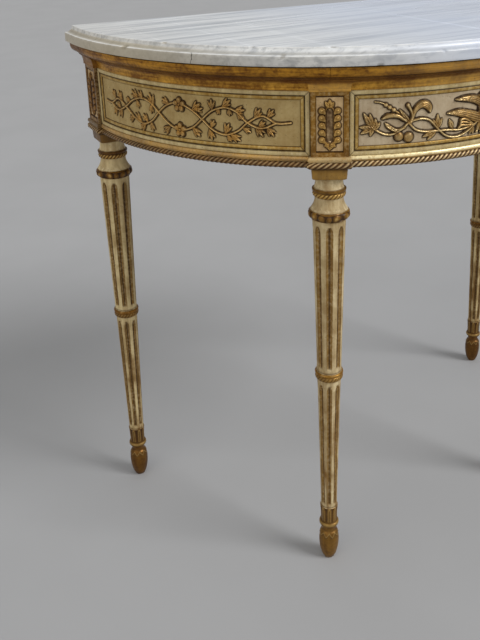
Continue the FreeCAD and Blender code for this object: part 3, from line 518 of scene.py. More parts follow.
@cache
def painted_skin() -> Tree:
    """Old paint: two tones in blotches, glazed with grime, stained in specks; lighter on ridges by paint rubbing and
    painted highlight, and stained in hollows as patina and painted shade.

    Returns:
        The group.
    """
    inputs = (Kind.VALUE.sockets(*MARKS, "Hollow", "Ridge", "Grime")
              | Kind.COLOR.sockets("Paint", "Shade", "Stain", "Rubbed", "Glaze"))
    effect = Effect("painted_skin", inputs, Kind.COLOR.sockets("Color") | Kind.VALUE.sockets("Roughness"))
    skin, fine = effect.given, effect.given["Fine"]
    mottle = effect.weigh((skin["Broad"], 0.6), (effect.between(fine, 0.3, 0.75), 0.5))
    clouds = effect.weigh((skin["Streak"], 0.7), (skin["Broad"], 0.5))
    color = effect.coat(
        skin["Paint"], (mottle, skin["Shade"]),
        # Ridges: paint rubbing and painted highlight.
        (effect.times(skin["Ridge"], effect.between(fine, 0.42, 0.62)), skin["Rubbed"]),
        (effect.times(clouds, skin["Grime"]), skin["Glaze"]),
        (effect.times(skin["Speck"], 0.55), skin["Stain"]),
        # Hollows: stain as patina and painted shade.
        (effect.times(skin["Hollow"], effect.between(fine, 0.2, 0.6, 0.7, 1.0)), skin["Stain"]))
    return effect.give(Color=color, Roughness=effect.between(fine, 0.2, 0.8, 0.5, 0.75))


@cache
def gilded_skin() -> Tree:
    """Old gold leaf: toned in blotches, bole in specks; bright on ridges by gold rubbing and painted highlight, and
    dark brown in hollows as patina and painted shade.

    Returns:
        The group.
    """
    inputs = (Kind.VALUE.sockets(*MARKS, "Hollow", "Ridge", "Dullness", "Luster")
              | Kind.COLOR.sockets("Gold", "Toned", "Bright", "Bole", "Dark"))
    outputs = Kind.COLOR.sockets("Color") | Kind.VALUE.sockets("Roughness", "Metal")
    effect = Effect("gilded_skin", inputs, outputs)
    skin, fine = effect.given, effect.given["Fine"]
    mottle = effect.weigh((skin["Broad"], 0.5), (effect.between(fine, 0.35, 0.7), 0.4), (skin["Streak"], 0.42))
    color = effect.coat(
        skin["Gold"], (mottle, skin["Toned"]),
        # Ridges: gold rubbing and painted highlight.
        (effect.times(skin["Ridge"], effect.between(fine, 0.3, 0.6, 0.5, 0.9)), skin["Bright"]),
        # Specks of bole; hollows dark brown as patina and painted shade.
        (effect.times(skin["Speck"], 0.6), skin["Bole"]), (skin["Hollow"], skin["Dark"]))
    return effect.give(
        Color=color, Roughness=effect.times(effect.between(fine, 0.3, 0.7, 0.3, 0.48), skin["Dullness"]),
        Metal=effect.times(effect.between(skin["Hollow"], 0.1, 0.7, 1.0, 0.0), skin["Luster"]))


@cache
def wood_grain() -> Tree:
    """Bare wood with its grain along X: stretched noise for the rings, finer noise for the pores.

    Returns:
        The group.
    """
    effect = Effect("wood_grain", Kind.VECTOR.sockets("Coordinate") | Kind.COLOR.sockets("Early", "Late"),
                    Kind.COLOR.sockets("Color") | Kind.VALUE.sockets("Grain"))
    spot = effect.given["Coordinate"]
    rings = effect.drawn(spot, (2.5, 45.0, 45.0), 3.0, 1.2)
    pores = effect.drawn(spot, (14.0, 420.0, 420.0), 2.0)
    grain = effect.weigh((effect.between(rings, 0.3, 0.7), 0.65), (effect.between(pores, 0.35, 0.7), 0.35))
    dust = effect.between(effect.noise(spot, 9.0, 3.0), 0.35, 0.75, 0.0, 0.35)
    color = effect.coat(effect.given["Early"], (grain, effect.given["Late"]), (dust, WOOD_DUST))
    return effect.give(Color=color, Grain=grain)


class Surface(Nodes):
    """A material in the making, with its one shader and the piece's own coordinates."""

    def __init__(self, name: str) -> None:
        """Start the material.

        Args:
            name: its name.
        """
        self.material = bpy.data.materials.new(name)
        self.material.use_nodes = True
        super().__init__(self.material.node_tree)
        self.sockets = next(node for node in self.tree.nodes if node.type == "BSDF_PRINCIPLED").inputs
        self.spot = self.add("TexCoord")["Object"]

    def axis(self, name: str) -> Socket:
        """One of the coordinates."""
        return self.add("SeparateXYZ", {"Vector": self.spot})[name]

    def turned(self, turn: Triple) -> Socket:
        """The coordinates, turned about each axis."""
        return self.add("Mapping", {"Vector": self.spot, "Rotation": turn})[0]

    def dress(self, color: Feed, roughness: Feed, height: Feed, strength: float = 0.3,
              distance: float = 0.0006) -> Material:
        """Feed the shader and hand the material over.

        Args:
            color: base colour.
            roughness: roughness.
            height: what the fine bumps follow.
            strength: strength of the bumps.
            distance: their height in metres.

        Returns:
            The material.
        """
        bump = self.add("Bump", {"Strength": strength, "Distance": distance, "Height": height})[0]
        for name, value in (("Base Color", color), ("Roughness", roughness), ("Normal", bump)):
            self.feed(self.sockets[name], value)
        return self.material


class Draw(Enum):
    """Scales that draw streaks out along a piece, per metre."""

    UPRIGHT = (170.0, 170.0, 16.0)
    ACROSS = (20.0, 20.0, 380.0)


class Grain(Enum):
    """Turns that lay the grain of bare wood along an axis."""

    ALONG_X = (0.0, 0.0, 0.0)
    ALONG_Y = (0.0, 0.0, math.pi / 2)
    ALONG_Z = (0.0, math.pi / 2, 0.0)


@dataclass(frozen=True)
class ParcelGilt:
    """Old paint with gilding where the piece's mask says so, and bare wood where nothing was laid."""

    name: str
    paint: Color = srgb(190, 174, 132)
    shade: Color = srgb(166, 148, 104)
    # Stain for specks, and for hollows as patina and painted shade.
    stain: Color = srgb(72, 48, 22)
    # Lighter paint on ridges: paint rubbing and painted highlight.
    rubbed: Color = srgb(220, 204, 164)
    glaze: Color = srgb(126, 92, 46)
    grime: float = 0.35
    grime_low: float = 0.35
    gold: Color = srgb(178, 134, 62)
    toned: Color = srgb(126, 88, 36)
    # Gold on ridges: gold rubbing and painted highlight.
    bright: Color = srgb(228, 192, 118)
    bole: Color = srgb(96, 52, 24)
    # Dark brown in hollows: patina and painted shade.
    dark: Color = srgb(48, 28, 10)
    soil: Color = srgb(80, 54, 26)
    early: Color = srgb(150, 116, 76)
    late: Color = srgb(104, 74, 44)
    dullness: float = 1.0
    luster: float = 0.5
    draw: Draw = Draw.UPRIGHT
    bump: float = 0.35
    specular: float = 0.2

    def build(self) -> Material:
        """Make the material: grime thickens and gold is soiled towards the floor.

        Returns:
            The material.
        """
        skin = Surface(self.name)
        marks = skin.group(age_marks(), {"Coordinate": skin.spot, "Draw": self.draw.value})
        wear_and_light = {name: marks[name] for name in MARKS}
        wear_and_light |= {"Hollow": skin.attribute(Mask.HOLLOW), "Ridge": skin.attribute(Mask.RIDGE)}
        level = skin.axis("Z")
        paint = skin.group(painted_skin(), wear_and_light | {
            "Paint": self.paint, "Shade": self.shade, "Stain": self.stain, "Rubbed": self.rubbed,
            "Glaze": self.glaze, "Grime": skin.between(level, 0.1, 0.5, self.grime_low, self.grime)})
        gold = skin.group(gilded_skin(), wear_and_light | {
            "Gold": self.gold, "Toned": self.toned, "Bright": self.bright, "Bole": self.bole,
            "Dark": self.dark, "Dullness": self.dullness, "Luster": self.luster})
        wood = skin.group(wood_grain(), {
            "Coordinate": skin.turned(Grain.ALONG_Z.value), "Early": self.early, "Late": self.late})
        ragged = skin.between(marks["Fine"], 0.3, 0.7, -0.18, 0.18)
        gilt = skin.between(skin.math("ADD", skin.attribute(Mask.GILT), ragged), 0.2, 0.8)
        bare = skin.attribute(Mask.BARE)
        covered, painted = (skin.math("SUBTRACT", 1.0, share) for share in (bare, gilt))
        soiled = skin.mix(skin.between(level, 0.06, 0.17, 0.55, 0.0), gold["Color"], self.soil)
        skin.feed(skin.sockets["Metallic"], skin.times(gilt, gold["Metal"], covered))
        skin.sockets["Specular IOR Level"].default_value = self.specular
        return skin.dress(skin.coat(paint["Color"], (gilt, soiled), (bare, wood["Color"])),
                          skin.weigh((gold["Roughness"], gilt), (paint["Roughness"], painted)),
                          marks["Fine"], self.bump)


@dataclass(frozen=True)
class Vein:
    """Noise drawn out along the slab: scales per metre, detail, distortion, where and how much it shows."""

    along: float
    across: float
    detail: float
    distortion: float
    low: float
    high: float
    share: float
    tone: Color


@dataclass(frozen=True)
class Marble:
    """White marble with fine grey streaks along the slab, a few soft veins and a hairline crack in its edge."""

    name: str = "streaked_marble"
    white: Color = srgb(237, 239, 239)
    grey: Color = srgb(168, 174, 181)
    vein: Color = srgb(138, 144, 151)
    warm: Color = srgb(206, 192, 160)
    # Painted light: a bluish tint towards the middle and right, where bluish light falls.
    cool: Color = srgb(206, 217, 238)
    # Darkens where the slab's hollow mask says: the band under the ledge, the chips, painted shade in the cove.
    soiled: Color = srgb(112, 101, 76)
    # Painted highlight along the arrises of the edge.
    arris: Color = srgb(240, 239, 234)
    gap: Color = srgb(70, 66, 60)
    streak_turn: float = -5.0
    crack_turn: float = -143.5
    clouds: Vein = Vein(3.0, 7.0, 3.0, 0.8, 0.48, 0.72, 0.5, grey)
    veins: tuple[Vein, ...] = (
        Vein(3.4, 70.0, 6.0, 0.6, 0.42, 0.74, 0.85, grey), clouds,
        Vein(5.0, 60.0, 4.0, 0.4, 0.62, 0.76, 0.6, vein), Vein(7.0, 190.0, 3.0, 0.3, 0.5, 0.75, 0.4, vein))

    def crack(self, stone: Surface) -> Socket:
        """Where the crack shows: close to an upright plane, wandering a little, low on the front edge.

        Args:
            stone: the material in the making.

        Returns:
            The share of the crack's colour.
        """
        turn = math.radians(self.crack_turn)
        across = stone.add("VectorMath", {0: stone.spot, 1: (-math.sin(turn), math.cos(turn), 0.0)},
                           operation="DOT_PRODUCT")["Value"]
        wander = stone.between(stone.noise(stone.spot, 120.0, 2.0), 0.2, 0.8, -0.0018, 0.0018)
        offset = stone.math("SUBTRACT", across, ARC_Y * MM * math.cos(turn))
        away = stone.math("ABSOLUTE", stone.math("ADD", offset, wander))
        return stone.times(stone.between(away, 0.0003, 0.0009, 0.9, 0.0),
                           stone.between(stone.axis("Z"), 0.8685, 0.8715, 1.0, 0.0),
                           stone.between(stone.axis("Y"), 0.10, 0.05))

    def build(self) -> Material:
        """Make the material: warmer at the left end, darker where the slab's hollow mask says, a painted bluish
        light towards the middle and right, and painted highlights on the arrises.

        Returns:
            The material.
        """
        stone = Surface(self.name)
        along = stone.turned((0.0, 0.0, math.radians(self.streak_turn)))
        grains = {vein: stone.drawn(along, (vein.along, vein.across, vein.across), vein.detail, vein.distortion)
                  for vein in self.veins}
        fine = stone.noise(stone.spot, 240.0, 4.0)
        # The slab's hollow mask: the band under the ledge, the chips, and painted shade in the cove of the edge.
        dirt = stone.attribute(Mask.HOLLOW)
        warmth = stone.times(stone.between(stone.axis("X"), -0.30, -0.46, 0.0, 0.7),
                             stone.between(dirt, 0.0, 0.25, 0.25, 1.0))
        broken = stone.between(stone.noise(stone.spot, 70.0, 3.0), 0.38, 0.6, 0.25, 1.0)
        color = stone.coat(
            self.white, *((stone.between(grain, vein.low, vein.high, 0.0, vein.share), vein.tone)
                          for vein, grain in grains.items()),
            (stone.between(fine, 0.62, 0.74, 0.0, 0.3), self.vein), (warmth, self.warm), (dirt, self.soiled),
            # Painted light: the bluish tint towards the middle and right, and a broken highlight along the arrises.
            (stone.between(stone.axis("X"), -0.28, 0.04, 0.0, 0.6), self.cool),
            (stone.times(stone.attribute(Mask.RIDGE), broken), self.arris), (self.crack(stone), self.gap))
        return stone.dress(color, stone.between(grains[self.clouds], 0.3, 0.7, 0.24, 0.38), fine, 0.12, 0.0005)


@dataclass(frozen=True)
class BareWood:
    """Unfinished wood of the hidden frame, dusty and darkened."""

    name: str
    grain: Grain
    early: Color = EARLY_WOOD
    late: Color = LATE_WOOD

    def build(self) -> Material:
        """Make the material.

        Returns:
            The material.
        """
        skin = Surface(self.name)
        wood = skin.group(wood_grain(), {
            "Coordinate": skin.turned(self.grain.value), "Early": self.early, "Late": self.late})
        return skin.dress(wood["Color"], skin.between(wood["Grain"], 0.0, 1.0, 0.6, 0.8), wood["Grain"])


@dataclass(frozen=True)
class RailFinish:
    """A curved rail: dark old paint on its outer face, bare wood on every other face."""

    name: str = "rail_finish"
    outer: Color = srgb(92, 70, 40)
    stain: Color = srgb(52, 34, 16)

    def build(self) -> Material:
        """Make the material: the outer face is where the distance from the arc's middle is the ground's radius.

        Returns:
            The material.
        """
        skin = Surface(self.name)
        marks = skin.group(age_marks(), {"Coordinate": skin.spot, "Draw": Draw.ACROSS.value})
        wood = skin.group(wood_grain(), {"Coordinate": skin.spot, "Early": EARLY_WOOD, "Late": LATE_WOOD})
        flat = skin.add("VectorMath", {0: skin.spot, 1: (1.0, 1.0, 0.0)}, operation="MULTIPLY")[0]
        reach = skin.add("VectorMath", {0: flat, 1: (0.0, ARC_Y * MM, 0.0)}, operation="DISTANCE")["Value"]
        outside = skin.between(reach, GROUND_RADIUS * MM - 0.0012, GROUND_RADIUS * MM - 0.0004)
        paint = skin.mix(marks["Broad"], self.outer, self.stain)
        return skin.dress(skin.mix(outside, wood["Color"], paint),
                          skin.between(marks["Fine"], 0.2, 0.8, 0.55, 0.8), wood["Grain"])


@dataclass(frozen=True)
class Plain:
    """A small hidden finish: one colour with a mottle, such as felt or the steel of a screw."""

    name: str
    color: Color
    shade: Color
    scale: float
    metallic: float
    roughness: Spot

    def build(self) -> Material:
        """Make the material.

        Returns:
            The material.
        """
        skin = Surface(self.name)
        mottle = skin.noise(skin.spot, self.scale, 4.0)
        skin.sockets["Metallic"].default_value = self.metallic
        return skin.dress(skin.mix(skin.between(mottle, 0.3, 0.7), self.color, self.shade),
                          skin.between(mottle, 0.3, 0.7, *self.roughness), mottle, distance=0.0004)


# Mouldings

@dataclass(frozen=True)
class Section:
    """A closed section of a gilt moulding: distance outwards and level of each point, with hollow and ridge corners
    marked.
    """

    out: Array
    up: Array
    hollow: Array
    ridge: Array

    @classmethod
    def drawn(cls, corners: Spine) -> "Section":
        """Set a section up from its corners, bottom first, round the outside.

        Each side gets a point close to both its ends. A corner is a hollow or a ridge by the sine of its turn.

        Args:
            corners: distance outwards and level of each corner.

        Returns:
            The section.
        """
        spots = np.array(corners, float)
        ends = np.roll(spots, -1, 0)
        lengths = np.maximum(np.linalg.norm(ends - spots, axis=1), 1e-6)
        unit = (ends - spots) / lengths[:, None]
        before = np.roll(unit, 1, 0)
        turn = before[:, 0] * unit[:, 1] - before[:, 1] * unit[:, 0]
        near = np.minimum(EDGE_REACH, lengths * 0.34)[:, None] * unit
        points = np.stack([spots, spots + near, ends - near], 1).reshape(-1, 2)
        # Concave corners take the hollow mask, patina with painted shade; convex ones the ridge mask, rubbing with
        # painted highlight.
        marks = np.clip(np.outer((-1.6, 1.2), turn), 0, 1)
        hollow, ridge = (np.stack([mark, 0 * mark, 0 * mark], 1).ravel() for mark in marks)
        return cls(points[:, 0], points[:, 1], hollow, ridge)

    def darkened(self, shade: Array) -> "Section":
        """The same section with painted shade: at least this much hollow at each point, and fainter ridges."""
        return replace(self, hollow=np.maximum(self.hollow, shade), ridge=self.ridge * 0.35 * (1 - shade))

    def masks(self, shade: Array | float = 0.0, rubbed: Array | float = 0.0) -> Masks:
        """The masks to spread along a path.

        Args:
            shade: least hollow at each column.
            rubbed: least ridge at each column, outside the hollows.

        Returns:
            The masks.
        """
        hollow = np.maximum(self.hollow[:, None], shade)
        return {Mask.GILT: 1.0, Mask.HOLLOW: hollow,
                Mask.RIDGE: np.maximum(self.ridge[:, None], rubbed * (1 - hollow))}


def swept(bay: Bay, section: Section, half_angle: float, count: int) -> Array:
    """A section carried round a bay: its distance outwards is added to the ground's radius.

    Args:
        bay: the bay.
        section: the section.
        half_angle: degrees to each side of the bay's middle.
        count: columns along the bay.

    Returns:
        The grid of points.
    """
    along = np.radians(np.linspace(-half_angle, half_angle, count)) * GROUND_RADIUS
    return on_ground(bay, along[None, :], section.out[:, None], section.up[:, None])


def round_post(leg: Leg, out: Array, up: Array, stations: int) -> tuple[Array, Array]:
    """A section carried round a post and mitred: along each face it reaches past the corner by its own distance.

    Args:
        leg: the leg, whose face on the wall side stays free.
        out: distance from the post's faces, rows x 1 or rows x stations.
        up: level, like out.
        stations: columns along each face.

    Returns:
        The grid of points and the running length at each column.
    """
    seat = math.sqrt(GROUND_RADIUS**2 - HALF_POST**2) - LEG_RADIUS - 2
    left, right = (HALF_POST, -HALF_POST), (HALF_POST, HALF_POST)
    near, far = leg.wall_side >= 0, leg.wall_side <= 0
    faces = [((seat, -HALF_POST), left, 0, 1)] * near + [(left, right, near, far)]
    faces += [(right, (seat, HALF_POST), 1, 0)] * far
    share = np.linspace(0, 1, stations)[None, :]
    grids, lengths, run = [], [], 0.0
    for (x0, y0), (x1, y1), low, high in faces:
        span = math.hypot(x1 - x0, y1 - y0)
        ahead = np.array([x1 - x0, y1 - y0]) / span
        along = -low * out + (span + (low + high) * out) * share
        x = x0 + ahead[0] * along + ahead[1] * out
        y = y0 + ahead[1] * along - ahead[0] * out
        grids.append(at_leg(leg, x, y, up + 0 * share))
        lengths.append(run + span * share[0])
        run += span
    return np.concatenate(grids, 1), np.concatenate(lengths)


@dataclass(frozen=True)
class Rope:
    """A twisted bead: strands of round section that climb towards the right, with dark grooves between, painted
    shade on its underside and painted highlights on the crests of its strands.
    """

    radius: float = 5.0
    level: float = 709.0
    pitch: float = 7.5
    depth: float = 1.5
    around: int = 20
    stations: int = 64
    per_length: float = 2.4

    def twist(self, length: Array, turn: Array) -> Skin:
        """Radius of the bead: each strand swells by the height of a half circle over its width.

        Args:
            length: running length along the bead.
            turn: angle round the section, zero outwards.

        Returns:
            The radius and the masks.
        """
        phase = length / self.pitch - turn * self.radius / self.pitch
        swell = arch(2 * (phase % 1.0) - 1)
        # Patina and painted shade in the grooves, painted shade on the underside, painted highlights on the crests.
        under = 0.55 * smoothstep(-np.sin(turn), 0.1, 0.8)
        masks = {Mask.GILT: 1.0, Mask.HOLLOW: np.maximum((1 - swell) ** 0.65, under),
                 Mask.RIDGE: np.clip(swell - 0.8, 0, 1) * 3.0 * (1 - under)}
        return self.radius - self.depth * (1 - swell), masks

    def section_turns(self) -> Array:
        """Angles round the section from the back, below, outside and up to the back again, as a column."""
        return np.linspace(-math.pi, math.pi, self.around, endpoint=False)[:, None]

    def run(self, bay: Bay, seat: float, half_angle: float, rubbed: float) -> Skin:
        """A bead along a bay.

        Args:
            bay: the bay.
            seat: distance of its middle from the ground.
            half_angle: degrees to each side of the bay's middle.
            rubbed: how bright its strands are.

        Returns:
            Its grid and its masks.
        """
        reach = math.radians(half_angle) * GROUND_RADIUS
        along = np.linspace(-reach, reach, int(reach * self.per_length))[None, :]
        turn = self.section_turns()
        radius, masks = self.twist(along, turn)
        # Each bay's painted highlight on the strands.
        masks[Mask.RIDGE] = masks[Mask.RIDGE] * rubbed
        return on_ground(bay, along, seat + radius * np.cos(turn), self.level + radius * np.sin(turn)), masks

    def about(self, leg: Leg, seat: float) -> Skin:
        """A bead round a post.

        Args:
            leg: the leg.
            seat: distance of its middle from the post's faces.

        Returns:
            Its grid and its masks.
        """
        turn = self.section_turns()
        length = round_post(leg, turn, turn, self.stations)[1][None, :]
        radius, masks = self.twist(length, turn)
        parts = []
        for columns in np.split(np.arange(length.size), length.size // self.stations):
            out = seat + radius[:, columns] * np.cos(turn)
            up = self.level + radius[:, columns] * np.sin(turn)
            parts.append(round_post(leg, out, up, self.stations)[0][:, columns])
        return np.concatenate(parts, 1), masks


@dataclass
class Mouldings:
    """Cornice, cove with its caps, base band and rope, in lengths between the posts and returns round them."""

    cornice: ParcelGilt = ParcelGilt(
        "cornice_gilding", gold=srgb(206, 148, 46), toned=srgb(106, 62, 8), bright=srgb(224, 182, 108),
        dark=srgb(70, 36, 4), luster=0.35, draw=Draw.ACROSS)
    cove: ParcelGilt = replace(cornice, name="cove_gilding", gold=srgb(226, 170, 66), toned=srgb(122, 76, 16),
                               dark=srgb(84, 42, 4))
    base: ParcelGilt = ParcelGilt(
        "base_gilding", gold=srgb(200, 150, 64), toned=srgb(134, 92, 34), bright=srgb(255, 238, 186),
        dullness=0.75, luster=0.25, draw=Draw.ACROSS)
    twisted: ParcelGilt = ParcelGilt(
        "rope_gilding", gold=srgb(136, 94, 40), toned=srgb(86, 56, 20), bright=srgb(248, 220, 166),
        dark=srgb(42, 22, 6), luster=0.25)
    run_half_angle: float = 26.47
    run_columns: int = 90
    cornice_half_angle: float = 29.97
    cornice_columns: int = 120
    return_stations: int = 24
    cornice_levels: Spot = (834, 853)
    cove_levels: Spot = (816, 834)
    band_levels: Spot = (714, 722)
    cove_reach: Spot = (12, 2.5)
    cap_reach: Spot = (8, 1.5)
    band_reach: Spot = (3, 6)
    return_reach: Spot = (1.5, 4)
    rope_seat: float = 1.5
    rope_return_seat: float = 0.5
    corner_dirt: float = 0.75
    wall_dirt: float = 0.7
    rope: Rope = Rope()
    # How strong each bay's painted highlight is, strongest on the middle bay.
    bay_highlight: dict[Bay, float] = field(default_factory=lambda: {Bay.LEFT: 0.15, Bay.CENTER: 1.2, Bay.RIGHT: 0.4})

    def highlight_share(self, wear_and_light: float, count: int) -> Array:
        """The painted highlight of a length at each of its columns: most in its middle, none at its joints."""
        return 0.36 * wear_and_light * smoothstep(1 - np.abs(np.linspace(-1, 1, count)), 0.0, 0.8)

    def cornice_section(self) -> Section:
        """The ovolo under the slab: a quarter round over a small fillet, with painted shade towards its foot.

        Returns:
            The section.
        """
        low, high = self.cornice_levels
        swell = [(30 - 12.6 * (1 - math.cos(turn)), high - 2.4 - 13.0 * math.sin(turn))
                 for turn in np.linspace(math.pi / 2, 0, 11)]
        section = Section.drawn([(0, low), (16, low), (17, low + 0.6), (17, low + 3.2), *swell,
                                 (30, high - 0.6), (29.5, high), (0, high)])
        # Painted shade on the lower part of the ovolo.
        return section.darkened(smoothstep(-section.up, -low - 7.5, -low - 2.5) * 0.75)

    def cove_section(self, head: float, foot: float) -> Section:
        """The cove under it: a quarter ellipse that is upright at its foot and level at its head.

        Args:
            head: projection of the fillet at its head.
            foot: projection of its foot.

        Returns:
            The section.
        """
        low, high = self.cove_levels
        width, rise = head - foot - 1, high - low - 3.9
        rising = [(head - 0.5 - width * math.sin(turn), high - 1.7 - rise * (1 - math.cos(turn)))
                  for turn in np.linspace(0, math.pi / 2, 11)[-2::-1]]
        section = Section.drawn([(-1, low), (foot, low), (foot + 0.5, low + 0.6), *rising, (head, high - 1.4),
                                 (head, high - 0.4), (head - 0.4, high), (-1, high)])
        # Painted shadow of the ovolo over the upper part of the cove.
        return section.darkened(smoothstep(section.up, low + 9, low + 14) * 0.8)

    def band_section(self, head: float, belly: float, rubbed: float) -> Section:
        """The base band: a soft torus over a flat, with a painted highlight on its upper side.

        Args:
            head: projection at its head.
            belly: projection of its fullest part.
            rubbed: how bright its upper side is.

        Returns:
            The section.
        """
        low, high = self.band_levels
        swell = [(head + (belly - head) * math.cos(turn), high - 4 + 3.6 * math.sin(turn))
                 for turn in np.linspace(-0.9, math.pi / 2, 8)]
        section = Section.drawn([(-1, low), (head + 0.6, low), (head + 0.6, low + 0.9), *swell, (-1, high)])
        # Painted highlight on the upper side of the band.
        bright = rubbed * smoothstep(section.up, low + 1.5, low + 4.5)
        return replace(section, ridge=np.maximum(section.ridge, bright))

    def cornice_grid(self, bay: Bay, section: Section) -> Array:
        """A length of cornice: a sixth of a circle, drawn on straight to the wall where it ends a side.

        Args:
            bay: the bay.
            section: the section.

        Returns:
            The grid of points.
        """
        arc = swept(bay, section, self.cornice_half_angle, self.cornice_columns)
        wall = np.array([0.0, HALF_POST, 0.0])
        starts = [arc[:, :1] + wall] if bay is Bay.LEFT else []
        ends = [arc[:, -1:] + wall] if bay is Bay.RIGHT else []
        return np.concatenate([*starts, arc, *ends], 1)

    def build(self) -> None:
        """Make and place every length and return, dirtier towards the wall."""
        cornice, cove, base, twisted = (finish.build()
                                        for finish in (self.cornice, self.cove, self.base, self.twisted))
        crown, cove_run = self.cornice_section(), self.cove_section(*self.cove_reach)
        for bay in Bay:
            # Each bay's painted highlight brightens its cornice, cove, base band and rope.
            word, wear_and_light = bay.word, self.bay_highlight[bay]
            grid = self.cornice_grid(bay, crown)
            dirt = self.corner_dirt * smoothstep(grid[:1, :, 1], 130, 215)
            masks = crown.masks(dirt, self.highlight_share(wear_and_light, grid.shape[1]))
            Shell().add_closed(grid, masks).place(f"{word}_cornice", cornice, f"cornice_{word}")
            for piece, section, material, rubbed in (
                    ("cove", cove_run, cove, self.highlight_share(wear_and_light, self.run_columns)),
                    ("base_band", self.band_section(*self.band_reach, wear_and_light), base, 0.0)):
                grid = swept(bay, section, self.run_half_angle, self.run_columns)
                Shell().add_closed(grid, section.masks(0.0, rubbed)).place(
                    f"{word}_{piece}", material, f"{piece}_{word}")
            Shell().add_closed(*self.rope.run(bay, self.rope_seat, self.run_half_angle, 0.4 + wear_and_light)).place(
                f"{word}_rope", twisted, f"rope_bead_{word}")
        cap, band_return = self.cove_section(*self.cap_reach), self.band_section(*self.return_reach, 0.2)
        for leg in Leg:
            word = leg.word
            for piece, section, material in (("cove_cap", cap, cove), ("base_return", band_return, base)):
                grid, length = round_post(leg, section.out[:, None], section.up[:, None], self.return_stations)
                ends = np.minimum(length, length[-1] - length)
                dirt = np.maximum(self.corner_dirt * bell(ends, 1.6), self.wall_dirt if leg.wall_side else 0.0)
                Shell().add_closed(grid, section.masks(dirt, 0.4)).place(
                    f"{word}_{piece}", material, f"{piece}_{word}")
            Shell().add_closed(*self.rope.about(leg, self.rope_return_seat)).place(
                f"{word}_rope_return", twisted, f"rope_return_{word}")


# Carving

def round_crown(across: Array, along: Array) -> Array:
    """Half-round section."""
    return arch(across)


def leaf_crown(across: Array, along: Array) -> Array:
    """Cupped leaf: full sides, a grooved midrib and faint side veins.

    Args:
        across: offset over half the width, from -1 to 1.
        along: share of the way along.

    Returns:
        Height as a share.
    """
    sides = np.maximum(0, 1 - across**2) ** 0.4
    midrib = 1 - 0.5 * bell(across, 0.17) * np.clip(1.15 - along, 0, 1)
    veins = 1 - 0.1 * np.cos(FULL_TURN * (4.0 * along - 1.2 * np.abs(across)))
    return sides * midrib * veins * (0.7 + 0.3 * np.sin(math.pi * np.clip(along, 0, 1) ** 0.8))


def cup_crown(across: Array, along: Array) -> Array:
    """Round petal or lobe with a cupped middle."""
    return np.maximum(0, 1 - across**2) ** 0.45 * (0.8 + 0.35 * across**2)


def feather_crown(across: Array, along: Array) -> Array:
    """Wing or fluted blossom: ribs that run along it."""
    return np.maximum(0, 1 - across**2) ** 0.35 * (0.74 + 0.26 * np.abs(np.cos(math.pi * 2.6 * across)))


def flat_crown(across: Array, along: Array) -> Array:
    """Level section."""
    return np.ones_like(across)


